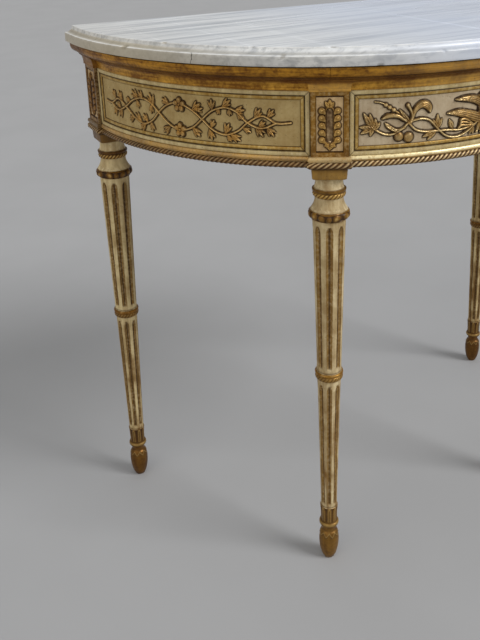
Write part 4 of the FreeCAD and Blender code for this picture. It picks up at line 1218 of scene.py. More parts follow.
@dataclass
class Relief:
    """Carving as heights over a flat ground, on an even grid."""

    half_width: float
    half_height: float
    step: float
    middle: float = 0.0
    gilt_heights: Spot = (0.35, 0.9)
    flank_slopes: Spot = (0.4, 1.2)
    foot_heights: Spot = (0.03, 0.32)
    foot_ends: Spot = (0.6, 1.7)
    most_dark: float = 0.95

    def __post_init__(self) -> None:
        """Lay the grid out."""
        columns, rows = (int(round(2 * half / self.step)) + 1 for half in (self.half_width, self.half_height))
        self.columns = np.linspace(-self.half_width, self.half_width, columns)
        self.rows = self.middle + np.linspace(-self.half_height, self.half_height, rows)
        self.across, self.up = np.meshgrid(self.columns, self.rows)
        self.height, self.painted, self.rim = (np.zeros_like(self.across) for _ in range(3))

    def stroke(self, spine: Spine, widths: Spine, crown: Crown, height: float) -> None:
        """Raise a stroke: each point takes its nearest place on the spine, and the crown there gives its height.

        Args:
            spine: points that the stroke follows.
            widths: share of the way along, and half the stroke's width there.
            crown: height as a share, from the offset over half the width and the share along.
            height: height of a full crown.
        """
        count = 4 * len(spine) + 1
        line = spline(spine, count)
        stations = np.linspace(0, 1, count)
        breadth = np.array(widths, float)
        reach = breadth[:, 1].max() + self.step
        low, high = line.min(0) - reach, line.max(0) + reach
        window = (slice(*np.searchsorted(self.rows, [low[1], high[1]])),
                  slice(*np.searchsorted(self.columns, [low[0], high[0]])))
        x, z = self.across[window], self.up[window]
        nearest, along, side = np.full(x.shape, np.inf), np.zeros(x.shape), np.zeros(x.shape)
        for start, end, first, last in zip(line[:-1], line[1:], stations[:-1], stations[1:]):
            run = end - start
            share = np.clip(((x - start[0]) * run[0] + (z - start[1]) * run[1]) / (run @ run + 1e-9), 0, 1)
            right, over = x - start[0] - share * run[0], z - start[1] - share * run[1]
            away = np.hypot(right, over)
            closer = away < nearest
            nearest = np.where(closer, away, nearest)
            along = np.where(closer, first + share * (last - first), along)
            side = np.where(closer, np.sign(run[0] * over - run[1] * right), side)
        offset = nearest / np.maximum(np.interp(along, breadth[:, 0], breadth[:, 1]), 1e-3)
        raised = np.where(offset < 1, crown(np.clip(offset, 0, 1) * side, along), 0) * height
        self.height[window] = np.maximum(self.height[window], raised)

    def stem(self, spine: Spine, width: float, height: float, taper: float = 1.0) -> None:
        """A half-round stem, whose width at its end is its first width times the taper."""
        self.stroke(spine, [(0, width / 2), (1, width / 2 * taper)], round_crown, height)

    def leaf(self, base: Spot, tip: Spot, width: float, height: float, bend: float = 0.0,
             crown: Crown = leaf_crown) -> None:
        """A pointed leaf, widest at two fifths of its length.

        Args:
            base: where it springs.
            tip: its point.
            width: its width.
            height: its height.
            bend: how far its middle bows to its left, as a share of its length.
            crown: its section.
        """
        start, end = np.array(base, float), np.array(tip, float)
        middle = (start + end) / 2 + np.array([start[1] - end[1], end[0] - start[0]]) * bend
        half = width / 2
        widths = [(place, half * share) for place, share in (
            (0, 0.3), (0.2, 0.85), (0.42, 1), (0.7, 0.72), (0.9, 0.3), (1, 0.05))]
        self.stroke([start, middle, end], widths, crown, height)

    def trefoil(self, base: Spot, tip: Spot, width: float, height: float, lean: float = 0.44) -> None:
        """A leaf with two side lobes that leave it close to its base.

        Args:
            base: where it springs.
            tip: its point.
            width: its width.
            height: its height.
            lean: angle between a side lobe and the leaf.
        """
        self.leaf(base, tip, width * 0.72, height)
        start, run = np.array(base, float), np.array(tip, float) - np.array(base, float)
        fork = start + run * 0.08
        for angle, reach in ((-lean, 0.78), (lean, 0.86)):
            turn = np.array([[math.cos(angle), -math.sin(angle)], [math.sin(angle), math.cos(angle)]])
            self.leaf(fork, fork + turn @ run * reach, width * 0.52, height * 0.85)

    def flower(self, middle: Spot, radius: float, height: float) -> None:
        """Five round petals about a boss.

        Args:
            middle: its middle.
            radius: its radius.
            height: its height.
        """
        half = radius * 0.38
        for turn in np.radians(90 + 72 * np.arange(5)):
            ray = np.array([math.cos(turn), math.sin(turn)])
            petal = np.array(middle) + ray * radius * 0.58
            spine = [petal - ray * radius * 0.1, petal + ray * radius * 0.04]
            self.stroke(spine, [(0, half * 0.9), (1, half)], cup_crown, height)
        self.berry(middle, radius * 0.2, height * 0.9)

    def berry(self, middle: Spot, radius: float, height: float) -> None:
        """A round boss."""
        spine = [(middle[0] - 0.05, middle[1]), (middle[0] + 0.05, middle[1])]
        self.stroke(spine, [(0, radius), (1, radius)], round_crown, height)

    def sheet(self, seat: float, depth: float, rough: float,
              seed: int) -> tuple[Array, Array, Array, Masks]:
        """The carved sheet with a turned-down edge above and below, ready to place.

        Heights get a hand-cut unevenness. Steep flanks, feet and dips under the blurred height are hollows: patina
        and painted shade, at the feet a painted shadow. What stands over the blurred height is a ridge: painted
        highlight.

        Args:
            seat: height of the ground.
            depth: depth of the turned-down edges.
            rough: unevenness in millimetres.
            seed: which unevenness.

        Returns:
            Offsets along, out and up, and the masks.
        """
        noise = np.random.default_rng(seed).standard_normal(self.height.shape)
        cells = max(1, int(round(1.2 / self.step)))
        uneven = blur(noise, cells)
        uneven *= rough / max(uneven.std(), 1e-6)
        height = self.height + uneven * smoothstep(self.height, 0.0, 0.8)
        soft, wide = blur(height, cells), blur(height, 2 * cells)
        raised = smoothstep(height, *self.gilt_heights) * (1 - self.painted)
        steep = np.hypot(*np.gradient(soft, self.step))
        # Patina and painted shade on flanks and in dips, a painted shadow at the feet, painted highlights on crests.
        flank = smoothstep(steep, *self.flank_slopes) * raised * self.most_dark
        foot = smoothstep(soft, *self.foot_heights) * (1 - smoothstep(height, *self.foot_ends))
        dip = np.clip((wide - height) * 2.2, 0, self.most_dark) * raised
        ridge = np.clip((height - wide) * 0.6, 0, 1) * raised * (1 - flank)
        masks = {Mask.GILT: raised, Mask.HOLLOW: np.maximum.reduce([flank, foot, dip, self.rim]), Mask.RIDGE: ridge}
        along, up, out, *shades = (np.pad(grid, ((1, 1), (0, 0)), mode="edge")
                                   for grid in (self.across, self.up, seat + height, *masks.values()))
        out[[0, -1]] = seat - depth
        return along, out, up, dict(zip(masks, shades))


@dataclass(frozen=True)
class Vine:
    """Two crossing stems with leaves, and a flower above and below the middle."""

    stem_width: float = 3.1
    stems: tuple[tuple[float, Spine], ...] = (
        (2.8, ((-178, -4), (-158, -5), (-137, 5), (-115, -4), (-92, -19), (-71, -24.5), (-52, -17), (-37, -2),
               (-20, 11), (1, 16.5), (24, 9), (43, -4), (60, -18), (80, -24), (100, -17), (115, -4), (137, 7),
               (157, -3), (178, -2))),
        (3.1, ((-158, -5), (-137, -13), (-115, -4), (-95, 9), (-72, 15), (-53, 10), (-37, -2), (-18, -17),
               (3, -24.5), (26, -18), (43, -4), (60, 10), (81, 16.5), (99, 11), (115, -4), (136, -11), (157, -3))))
    leaves: Rows = (
        (77, 17.5, 90, 28, 9.5), (95, 12, 112, 14.5, 9.5), (60, 11, 59, 28, 8), (58, -15, 63, -3, 8),
        (80, -22.6, 87, -6, 9), (54.5, -18, 59, -34.5, 8.5), (84, -24.5, 90, -34.5, 8.5), (89, -23, 104, -32, 8.5),
        (108, -12, 120, -18, 7), (-16, 12.4, -30, 21, 9), (26, 8, 41, 20, 9), (30, 8, 46, 13, 6.5),
        (-16, -22, -30, -32, 9.5), (26, -18, 39, -31, 10), (-82, 12, -98, 25, 9), (-71, 13, -82, 26, 8),
        (-47, 6, -56, 26, 8.5), (-103, 6, -115, 9, 7), (-77, -22, -93, -11, 8), (-62, -21, -73, -9, 8),
        (-68, -26, -81, -34.5, 9), (-55, -20, -52, -34.5, 9.5), (-95, -18, -109, -24, 8), (72, 14, 68, 5, 6.5),
        (87, 15, 88, 4, 7), (100, 9, 108, -1, 7), (-85.5, 11, -82, -3, 7), (-52, 8, -54, -7, 7))
    mirrored: Rows = (
        (125.5, 4, 135, 18, 8.5), (144.6, 5, 154, 17, 8), (131, -9, 142, -1, 7), (127, -9, 138, -24, 8.5),
        (143, -9, 154, -23, 8))
    leaf_height: float = 3.0
    flowers: Spine = ((3.5, 14.0), (3.5, -24.0))
    flower_radius: float = 11.5
    flower_height: float = 4.2

    def carve(self, relief: Relief) -> None:
        """Raise the vine.

        Args:
            relief: the heights of its panel.
        """
        for height, spine in self.stems:
            relief.stem(spine, self.stem_width, height)
        for side, table in ((1, self.leaves + self.mirrored), (-1, self.mirrored)):
            for x, z, tip_x, tip_z, width in table:
                relief.trefoil((side * x, z), (side * tip_x, tip_z), width, self.leaf_height)
        for middle in self.flowers:
            relief.flower(middle, self.flower_radius, self.flower_height)


@dataclass(frozen=True)
class Stroke:
    """A stroke of the carving: its spine, its half widths along it, its section and its height."""

    spine: Spine
    widths: Spine
    crown: Crown
    height: float

    def cut(self, relief: Relief, side: int = 1) -> None:
        """Raise it on a panel's heights, or mirrored where the side is -1."""
        relief.stroke([(side * x, z) for x, z in self.spine], self.widths, self.crown, self.height)


def plume(lift: float) -> Stroke:
    """A folded tail plume that is lifted off the next one."""
    spine = ((-14, -20.5 + lift * 0.2), (-27, -19 + lift), (-36, -18.5 + lift), (-41 + lift * 0.4, -22 + lift))
    return Stroke(spine, ((0, 1.2), (0.5, 2.5), (0.8, 2.4), (1, 0.5)), round_crown, 3.7)


@dataclass(frozen=True)
class FruitAndBird:
    """Leaves, fruit and blossom on winding stems to both sides of a bird with spread wings.

    Stems have a spine, width, height and taper. Leaves have a base, a tip, a width and a height.
    Berries have a middle, a radius and a height. All of these are given on the left and mirrored.
    """

    stems: tuple[tuple[Spine, float, float, float], ...] = (
        (((-166, -15), (-155, -20.5), (-143, -21.5), (-130, -15), (-119, -6)), 3.4, 3.1, 1.0),
        (((-119, -7), (-109, -17), (-97, -21), (-80, -22), (-60, -22.5), (-38, -24.5), (-14, -21)), 3.5, 3.1, 1.0),
        (((-117, -5), (-108, -2.5), (-99, -1.8), (-88, -5), (-80, -13), (-71, -22.5), (-60, -31), (-46, -34.2),
          (-30, -31), (-14, -21), (-6, -14)), 3.5, 3.5, 1.0),
        (((-169, 26.5), (-161, 25), (-153, 21.4), (-141.6, 13.6), (-130, 5), (-120, -5)), 2.0, 2.0, 1.6))
    leaves: Rows = (
        (-172, -11, -191, -9, 8, 3.2), (-172, -11, -189, -19, 8, 3.2), (-172, -11, -185, 11.5, 9, 3.2),
        (-172, -11, -176, 10.5, 8.5, 3.2), (-169, -13, -167.5, 3, 8, 3.2), (-169, -13, -160.5, -3, 7.5, 3.2),
        (-172, -11, -175, -23, 8, 3.2), (-166, -15, -178, -2, 6, 3.4), (-118, -6, -134, 14.5, 7, 3.6),
        (-121, -5, -141, 8.5, 6, 3.0), (-75, -18, -75, 3, 8, 3.4), (-75, -18, -67.5, -4, 8, 3.4),
        (-75, -18, -82.5, -4.5, 7.5, 3.4), (-77, -21, -98, -29.5, 8, 3.2), (-77, -21, -90, -34.5, 8, 3.2),
        (-50, -21, -56, -7, 8.5, 3.2), (-15, -22, -21, -34.5, 6.5, 3.0), (-15, -22, -14, -34, 6.5, 3.0))
    berries: Rows = (
        (-133.5, -25.5, 7.2, 3.9), (-119, -27.5, 7.8, 4.3), (-153.3, 21.4, 3.3, 3.2), (-147.5, 17.5, 3.3, 3.2),
        (-141.6, 13.6, 3.3, 3.2))
    strokes: tuple[Stroke, ...] = (
        Stroke(((-123, -4), (-134, 3.6), (-148, 5.6), (-159.5, 1.5)),
               ((0, 1.6), (0.4, 3.4), (0.75, 4.2), (0.92, 2.6), (1, 0.3)), round_crown, 3.8),
        Stroke(((-124, -13), (-136, -16.4), (-147, -11.5), (-154.5, -4)),
               ((0, 1.6), (0.5, 3.0), (0.8, 3.1), (1, 0.3)), leaf_crown, 3.4),
        Stroke(((-117, -6), (-115, 7), (-121, 19)),
               ((0, 1.6), (0.6, 1.9), (0.85, 2.6), (1, 3.4)), round_crown, 3.4),
        Stroke(((-116, -6), (-112.5, 4), (-109, 13), (-99, 19.5), (-90, 15), (-87.5, 6)),
               ((0, 1.8), (0.25, 2.6), (0.5, 5.2), (0.72, 6.2), (0.9, 4.6), (1, 0.8)), feather_crown, 4.1),
        Stroke(((-4, -11), (-20, -5.5), (-40, 0.8), (-60.5, 1.8)),
               ((0, 8.5), (0.35, 7.8), (0.7, 5.6), (0.92, 2.6), (1, 0.3)), feather_crown, 4.0),
        Stroke(((-2, 12), (-14, 18), (-30, 20.5), (-48, 20.5)),
               ((0, 6.5), (0.4, 6.2), (0.75, 4.2), (0.93, 1.8), (1, 0.2)), feather_crown, 4.2),
        plume(0.0), plume(4.2), plume(8.4))
    trunk: tuple[Stroke, ...] = (
        Stroke(((0, -20), (0, -8), (0, 6), (0, 16)), ((0, 3), (0.35, 7.2), (0.7, 6.4), (1, 3.2)), leaf_crown, 4.6),
        Stroke(((0, 12), (0.5, 19), (-2, 24)), ((0, 4.2), (0.6, 3.8), (1, 3.4)), round_crown, 4.6))

    def carve(self, relief: Relief) -> None:
        """Raise the fruit and the bird.

        Args:
            relief: the heights of their panel.
        """
        for side in (1, -1):
            for spine, width, height, taper in self.stems:
                relief.stem([(side * x, z) for x, z in spine], width, height, taper)
            for x, z, tip_x, tip_z, width, height in self.leaves:
                relief.leaf((side * x, z), (side * tip_x, tip_z), width, height)
            for x, z, radius, height in self.berries:
                relief.berry((side * x, z), radius, height)
            for stroke in self.strokes:
                stroke.cut(relief, side)
            relief.leaf((-side, -16), (-9 * side, -33), 8, 3.6, 0.0, feather_crown)
        for stroke in self.trunk:
            stroke.cut(relief)
        relief.leaf((0, -16), (0, -35), 9, 3.8, 0.0, feather_crown)
        relief.leaf((-2, 24.5), (-9, 22.5), 3.6, 4.0, 0.1, round_crown)


@dataclass
class Panels:
    """The three panels: moulded frames, and carved vines or fruit and a displayed bird over painted grounds.

    The frame's profile gives inset, relief, gilding and hollow, from its outer edge to the ground and beneath.
    """

    frame_finish: ParcelGilt = ParcelGilt(
        "frame_paint", paint=srgb(208, 190, 140), shade=srgb(186, 166, 114), stain=srgb(50, 30, 8),
        gold=srgb(200, 166, 94), toned=srgb(162, 126, 60))
    side_finish: ParcelGilt = ParcelGilt(
        "side_panel", paint=srgb(184, 162, 112), shade=srgb(168, 144, 94), stain=srgb(44, 24, 6), grime=0.2,
        gold=srgb(182, 132, 56), toned=srgb(112, 74, 26), bright=srgb(226, 192, 128), dark=srgb(32, 16, 3),
        dullness=0.85)
    # A paler, bluer copy of the side panels' paint with brighter gold: painted light on the middle bay.
    center_lit_finish: ParcelGilt = replace(
        side_finish, name="center_panel_lit", paint=srgb(190, 174, 146), shade=srgb(174, 156, 128),
        gold=srgb(172, 130, 64), toned=srgb(116, 82, 36), bright=srgb(242, 216, 158))
    half_length: float = 204.4
    half_height: float = 47.0
    border: float = 13.5
    step: float = 0.62
    seat: float = 0.3
    edge_depth: float = 0.8
    rough: float = 0.1
    # The hollow column paints shade, with patina, into the frame's grooves and along its edges.
    profile: Rows = (
        (0.0, -0.6, 0, 0.9), (0.0, 2.9, 0, 0.2), (0.5, 3.7, 0, 0.0), (1.4, 4.0, 0, 0.0), (3.4, 4.1, 0, 0.0),
        (5.3, 3.9, 0, 0.0), (6.2, 3.3, 0, 0.6), (6.7, 2.3, 0, 0.95), (7.0, 1.5, 0.6, 1.0), (7.3, 1.6, 0.75, 1.0),
        (7.8, 2.2, 0.75, 0.7), (9.2, 2.6, 0.7, 0.0), (11.0, 2.4, 0.7, 0.0), (12.4, 1.8, 0.75, 0.2),
        (13.1, 1.3, 0.8, 0.85), (13.45, 0.6, 0.9, 1.0), (13.5, -0.6, 1, 1.0))

    def frame_grid(self, bay: Bay) -> Skin:
        """A frame: loops of rectangles, each inset by the profile, bent to the ground, with dark mitres.

        Args:
            bay: the bay.

        Returns:
            The grid and its masks.
        """
        inset, relief, gilt, hollow = np.array(self.profile).T[:, :, None]
        near = np.array([0.0, 0.004, 0.012])
        share = np.concatenate([near, np.linspace(0.03, 0.97, 60), 1 - near[::-1]])[:-1]
        tall = np.concatenate([near * 4, np.linspace(0.1, 0.9, 14), 1 - near[::-1] * 4])[:-1]
        along, rise = round_box(share * 2 - 1, tall)
        up = rise * 2 - 1
        mitre = (bell((1 - np.abs(along)) * self.half_length, EDGE_REACH)
                 * bell((1 - np.abs(up)) * self.half_height, EDGE_REACH))
        points = on_ground(bay, along * (self.half_length - inset), relief + 0 * along,
                           FRIEZE_MIDDLE + up * (self.half_height - inset))
        return points, {Mask.GILT: gilt, Mask.HOLLOW: np.maximum(hollow, mitre * 0.8),
                        Mask.RIDGE: np.clip(relief - 3.6, 0, 1) * 1.2}

    def build(self) -> None:
        """Make and place the frames and the carvings; the right panel mirrors the left one."""
        framed, sides, center = (finish.build()
                                 for finish in (self.frame_finish, self.side_finish, self.center_lit_finish))
        for number, bay in enumerate(Bay):
            shell = Shell()
            shell.add_grid(*self.frame_grid(bay), wrap_rows=True, wrap_columns=True)
            shell.place(f"{bay.word}_panel_frame", framed, f"panel_frame_{bay.word}", Slot.PAINTED)
            relief = Relief(self.half_length - self.border + 1, self.half_height - self.border + 1, self.step,
                            FRIEZE_MIDDLE - CARVING_LEVEL)
            carving, material = (FruitAndBird(), center) if bay is Bay.CENTER else (Vine(), sides)
            carving.carve(relief)
            if bay is Bay.RIGHT:
                relief.height = relief.height[:, ::-1]
            along, out, up, masks = relief.sheet(self.seat, self.edge_depth, self.rough, number)
            Shell().add_closed(on_ground(bay, along, out, CARVING_LEVEL + up), masks).place(
                f"{bay.word}_carving", material, f"carving_{bay.word}")


# Legs

class Turn(Enum):
    """How a length of turning runs between its ends."""

    STRAIGHT = "straight"
    SWELL = "swell"
    TORUS = "torus"


STRAIGHT, SWELL, TORUS = Turn


@dataclass(frozen=True)
class Length:
    """A length of turning: where it ends, its gilding, rows and dark end, and how it runs and swells."""

    level: float
    radius: float
    gilt: float
    rows: int
    dark: float = 0.0
    turn: Turn = STRAIGHT
    rise: float = 0.0


@dataclass(frozen=True)
class Band:
    """A length of the turning between two levels."""

    low: float
    high: float

    def holds(self, level: Array) -> Array:
        """Where levels lie inside it."""
        return (level > self.low) & (level < self.high)

    def share(self, level: Array) -> Array:
        """How far up it each level is."""
        return np.clip((level - self.low) / (self.high - self.low), 0, 1)


@dataclass(frozen=True)
class Flute(Band):
    """Flutes along a shaft: their widths at foot and head, and the length of shaft that is cut."""

    low_width: float
    high_width: float
    shaft: Band
    arch: float = 2.4

    def halves(self, level: Array) -> tuple[Array, Array]:
        """Half width at each level: half an ellipse at the foot and a longer one at the head.

        Args:
            level: levels, as a column.

        Returns:
            Half width, and half width that the columns gather in.
        """
        half = (self.low_width + (self.high_width - self.low_width) * self.share(level)) / 2
        head = self.arch * half
        past = np.maximum(0, np.maximum((self.low + half - level) / half, (level - self.high + head) / head))
        return half * arch(past), half


@dataclass(frozen=True)
class Ring(Band):
    """A carved ring: how many carvings go round it, how deep they are cut, and how dark it is."""

    count: int
    depth: float
    shade: float = 0.0

    def across(self, turn: Array, shift: Array | float = 0.5) -> Array:
        """Offset across each carving, from -1 to 1, with the carvings shifted round by a share of one."""
        return 2 * ((turn * self.count / FULL_TURN + shift) % 1.0) - 1

    def strands(self, level: Array, turn: Array) -> Array:
        """Height of rope strands that climb by one strand: half circles over each strand's width."""
        return arch(self.across(turn, -self.share(level)))

    def leaves(self, level: Array, turn: Array) -> Array:
        """Height of upright leaves: broad, rounded at the tip and veined down the middle.

        Args:
            level: levels, as a column.
            turn: angles.

        Returns:
            The height as a share.
        """
        across, share = self.across(turn), self.share(level)
        offset = np.clip(np.abs(across) / np.clip(1.0 - 0.55 * share**6, 0.08, 1), 0, 1)
        return np.sqrt(1 - offset**2) * (1 - 0.4 * bell(across, 0.12) * (share < 0.85))

    def eggs(self, level: Array, turn: Array) -> Array:
        """Height of ovals: half ellipsoids side by side, unevenly spaced as if cut by hand.

        Args:
            level: levels, as a column.
            turn: angles.

        Returns:
            The height as a share.
        """
        across = self.across(turn + 0.07 * np.sin(3 * turn + 1) + 0.05 * np.sin(5 * turn))
        share = self.share(level) * 2 - 1 + 0.25 * np.sin(4 * turn + 2)
        oval = np.sqrt(np.maximum(0, 1 - 1.15 * across**2 - 0.95 * share**2))
        return np.maximum(oval * (0.85 + 0.15 * np.sin(7 * turn)), smoothstep(np.abs(share), 0.8, 1.05) * 0.75)


@dataclass
class Legs:
    """Turned and fluted legs with sunk dies on their posts, and the medallions in the dies.

    The neck's rows give level, half width and hollow. The post's loops give distance outwards, half width,
    lowest and highest level, gilding, hollow and bareness.
    """

    finish: ParcelGilt = ParcelGilt(
        "leg_paint", paint=srgb(208, 190, 150), shade=srgb(184, 164, 120), grime=0.5, grime_low=1.0,
        gold=srgb(184, 138, 60), toned=srgb(128, 90, 36))
    rear_finish: ParcelGilt = replace(
        finish, name="rear_leg_paint", paint=srgb(216, 198, 152), shade=srgb(192, 170, 122),
        gold=srgb(152, 106, 40), toned=srgb(98, 64, 22), dark=srgb(36, 18, 4))
    medallion: ParcelGilt = ParcelGilt(
        "medallion_gilding", paint=srgb(208, 180, 136), shade=srgb(184, 156, 114), gold=srgb(172, 128, 60),
        toned=srgb(118, 84, 36))
    rear_medallion: ParcelGilt = replace(
        medallion, name="rear_medallion_gilding", gold=srgb(136, 92, 36), toned=srgb(84, 52, 18),
        bright=srgb(196, 150, 80), dark=srgb(38, 20, 5))
    columns: int = 192
    flute_count: int = 8
    flute_depth: float = 0.82
    flute_columns: float = 0.29
    flute_gilding: float = 0.62
    upper: Flute = Flute(373, 613, 8.0, 10.5, Band(367, 619))
    lower: Flute = Flute(114, 342, 6.0, 8.0, Band(108, 349))
    rope_rings: tuple[Ring, ...] = (Ring(656.3, 663.2, 24, 1.5), Ring(351, 358.6, 24, 0.5, 0.4))
    egg_ring: Ring = Ring(621.8, 634.4, 14, 2.2)
    leaf_ring: Ring = Ring(77.4, 106, 8, 1.3)
    lengths: tuple[Length, ...] = tuple(Length(*row) for row in (
        (0, 7.6, 1, 1), (3, 9.7, 1, 4, 0, SWELL, 0.5), (14, 13.8, 1, 8, 0, SWELL, 0.6),
        (27, 16.1, 1, 8, 0, SWELL, 0.35), (38, 16.5, 1, 10, 0, SWELL, 0.15),
        (46, 15.7, 1, 14, 0, SWELL, 0.25), (57, 12.0, 1, 20, 0.4, SWELL, 0.7),
        (58.5, 11.4, 1, 2, 0.7), (66.5, 12.2, 1, 6, 0.3, SWELL, -0.6),
        (76, 13.0, 1, 14, 0.6, TORUS, 3.7), (77.2, 13.5, 1, 2, 0.8),
        (106, 14.7, 1, 30, 0.2, SWELL, -0.25), (107, 13.3, 0.3, 2, 0.8), (350, 18.7, 0, 78),
        (350.8, 19.5, 0.6, 2, 0.8), (358.8, 20.2, 1, 12, 0, TORUS, 2.2), (359.4, 20.0, 1, 2, 1.0),
        (364.4, 20.2, 0.8, 9, 0.4, TORUS, 2.3), (365.2, 19.3, 0.3, 2, 0.8), (590, 24.3, 0, 66),
        (620.5, 25.0, 0, 30), (621.5, 26.4, 0.8, 2, 0.8), (634.6, 28.6, 1, 28, 0.4, TORUS, 4.3),
        (635.4, 28.0, 0.6, 2, 0.9), (637, 27.3, 0, 2), (655.4, 21.3, 0, 20, 0, SWELL, -1.8),
        (656, 21.9, 0.5, 2, 0.9), (663.4, 22.8, 1, 16, 0, TORUS, 2.4), (664, 22.6, 1, 2, 1.0),
        (665.2, 24.9, 1, 2, 0.6, SWELL, 0.4), (667.8, 25.3, 1, 2, 0.6, SWELL, 0.2),
        (668.8, 23.8, 1, 2, 0.5), (669.8, 22.4, 0.3, 2, 0.6), (684.4, 21.2, 0, 14, 0, SWELL, -1.2),
        (685, 22.4, 0, 2), (687, 22.6, 0, 2, 0.5)))
    neck: Rows = (
        (687.0, 22.4, 0.6), (687.0, 24.4, 0.4), (687.7, 25.2, 0.2), (690.0, 25.5, 0.12), (694.0, 25.8, 0.12),
        (698.0, 26.1, 0.2), (701.0, 26.3, 0.4), (702.6, 26.4, 0.8), (704.0, 26.4, 0.9))
    # The hollow column darkens the post's sides by the frieze and the corners of the sunk die: patina and painted
    # shade.
    post_loops: Rows = (
        (-27.0, 26.6, 704.4, 852.6, 0, 0, 1), (-26.6, 27.0, 704.0, 853.0, 0, 0, 1),
        (12.0, 27.0, 704.0, 853.0, 0, 0.2, 1), (16.0, 27.0, 704.0, 853.0, 0.4, 0.7, 0),
        (26.2, 27.0, 704.0, 853.0, 0.6, 0.4, 0), (27.0, 26.2, 704.8, 852.2, 0.7, 0.2, 0),
        (27.0, 20.6, 727.0, 811.0, 0.7, 0.12, 0), (26.7, 19.9, 727.7, 810.3, 0.8, 0.2, 0),
        (25.6, 19.1, 728.4, 809.6, 1.0, 0.7, 0), (25.0, 19.0, 728.5, 809.5, 1.0, 1.0, 0),
        (25.0, 12.0, 737.0, 801.0, 0, 0, 0))
    neck_columns: int = 64
    neck_power: float = 0.2
    post_columns: int = 12
    post_rows: int = 24
    cup: Band = Band(42, 57)
    cup_tips: int = 9
    cup_depth: float = 0.7
    # Painted shade on the collar above the upper rope ring.
    dark_collar: Band = Band(663.4, 669.4)
    bright_coves: tuple[tuple[Band, float], ...] = ((Band(670, 684), 0.8), (Band(637, 655), 0.35))
    # Painted highlights on beads: level, width and strength.
    bright_beads: Rows = ((73.0, 2.2, 0.9), (638.5, 1.8, 0.8))
    wall_dirt: float = 0.5
    medallion_size: Triple = (18.6, 38.6, 0.42)
    lobe_levels: tuple[float, ...] = (-22.5, -12.0, -1.5, 9.0, 19.5)
    medallion_seat: float = 25.2
    medallion_edge: float = 0.6
    medallion_rough: float = 0.08
    medallion_seed: int = 10

    def profile(self) -> tuple[Array, ...]:
        """Level, radius, gilding and hollow of the turning, row by row.

        A swell is a parabola over its chord and a torus half an ellipse. The last row of a length is darkened:
        patina and painted shade in the step to the next length.

        Returns:
            Four columns.
        """
        parts = []
        starts = (self.lengths[0],) + self.lengths[:-1]
        for start, item in zip(starts, self.lengths):
            share = np.linspace(0, 1, item.rows + 1)[1:]
            lift = 4 * share * (1 - share)
            curve = {STRAIGHT: 0 * share, SWELL: lift, TORUS: np.sqrt(lift)}[item.turn]
            chord = start.radius + (item.radius - start.radius) * share
            parts.append((start.level + (item.level - start.level) * share, chord + curve * item.rise,
                          np.full(item.rows, item.gilt), item.dark * (share == 1)))
        return tuple(np.concatenate(values)[:, None] for values in zip(*parts))

    def turned(self, leg: Leg) -> Skin:
        """The turned part: radius by level, cut by flutes and carved on its rings.

        Columns gather in the flutes: each flute takes the same share of the columns, whatever its width.

        Args:
            leg: the leg.

        Returns:
            The grid and its masks.
        """
        level, radius, gilt, dark = self.profile()
        even = np.linspace(0, FULL_TURN, self.columns, endpoint=False)[None, :]
        period, inner = FULL_TURN / self.flute_count, self.flute_columns
        place = ((even + period / 2) % period - period / 2) / period
        (upper, upper_seat), (lower, lower_seat) = self.upper.halves(level), self.lower.halves(level)
        half = np.maximum(upper, lower)
        shaft = self.upper.shaft.holds(level) | self.lower.shaft.holds(level)
        seat = np.where(self.upper.shaft.holds(level), upper_seat, lower_seat) / radius / period
        seat = np.where(shaft, np.where(half > 0, np.maximum(half / radius / period, 0.08), seat), inner)
        gathered = np.where(np.abs(place) < inner, place / inner * seat,
                            np.sign(place) * (seat + (np.abs(place) - inner) / (0.5 - inner) * (0.5 - seat)))
        turn = even - place * period + gathered * period + (period / 2 if leg is Leg.REAR_LEFT else 0.0)
        aside = np.abs(gathered) * period * radius
        inside = (aside < half + 0.05) & (half > 0.3) & shaft
        # Flutes: patina and painted shade at their lips and along their middles; their walls a little lighter.
        lip = bell(aside - half, 0.75) * (half > 0) * shaft
        deep = bell(aside, np.maximum(0.55 * half, 0.1)) * 0.85 * inside
        gilt = np.where(inside, self.flute_gilding, gilt + 0 * even)
        hollow = np.maximum.reduce([dark + 0 * even, lip * np.where(aside < half + 0.2, 0.4, 0.2), deep])
        ridge = np.where(inside, 0.3 * (1 - deep), 0.0)
        radius = radius - np.sqrt(np.maximum(0, half**2 - aside**2)) * self.flute_depth
        # Rope rings: patina and painted shade between the strands, painted highlights on their crests.
        for ring in self.rope_rings:
            swell, band = ring.strands(level, turn), ring.holds(level)
            radius = radius - ring.depth * (1 - swell) * band
            hollow = np.maximum(hollow, np.maximum((1 - swell) ** 0.8, ring.shade) * band)
            ridge = np.maximum(ridge, np.clip(swell - 0.72, 0, 1) * 2.4 * band * (1 - ring.shade))
        # Carved rings: darker over all and between carvings, patina and painted shade; painted highlights on crowns.
        for ring, swell in ((self.egg_ring, self.egg_ring.eggs(level, turn)),
                            (self.leaf_ring, self.leaf_ring.leaves(level, turn))):
            band = ring.holds(level)
            radius = radius - ring.depth * (1 - swell) * band
            hollow = np.maximum(hollow, np.clip(0.25 + 1.1 * (1 - swell) ** 1.6, 0, 0.9) * band * (swell < 0.88))
            ridge = np.maximum(ridge, np.clip(swell - 0.75, 0, 1) * 3.0 * band)
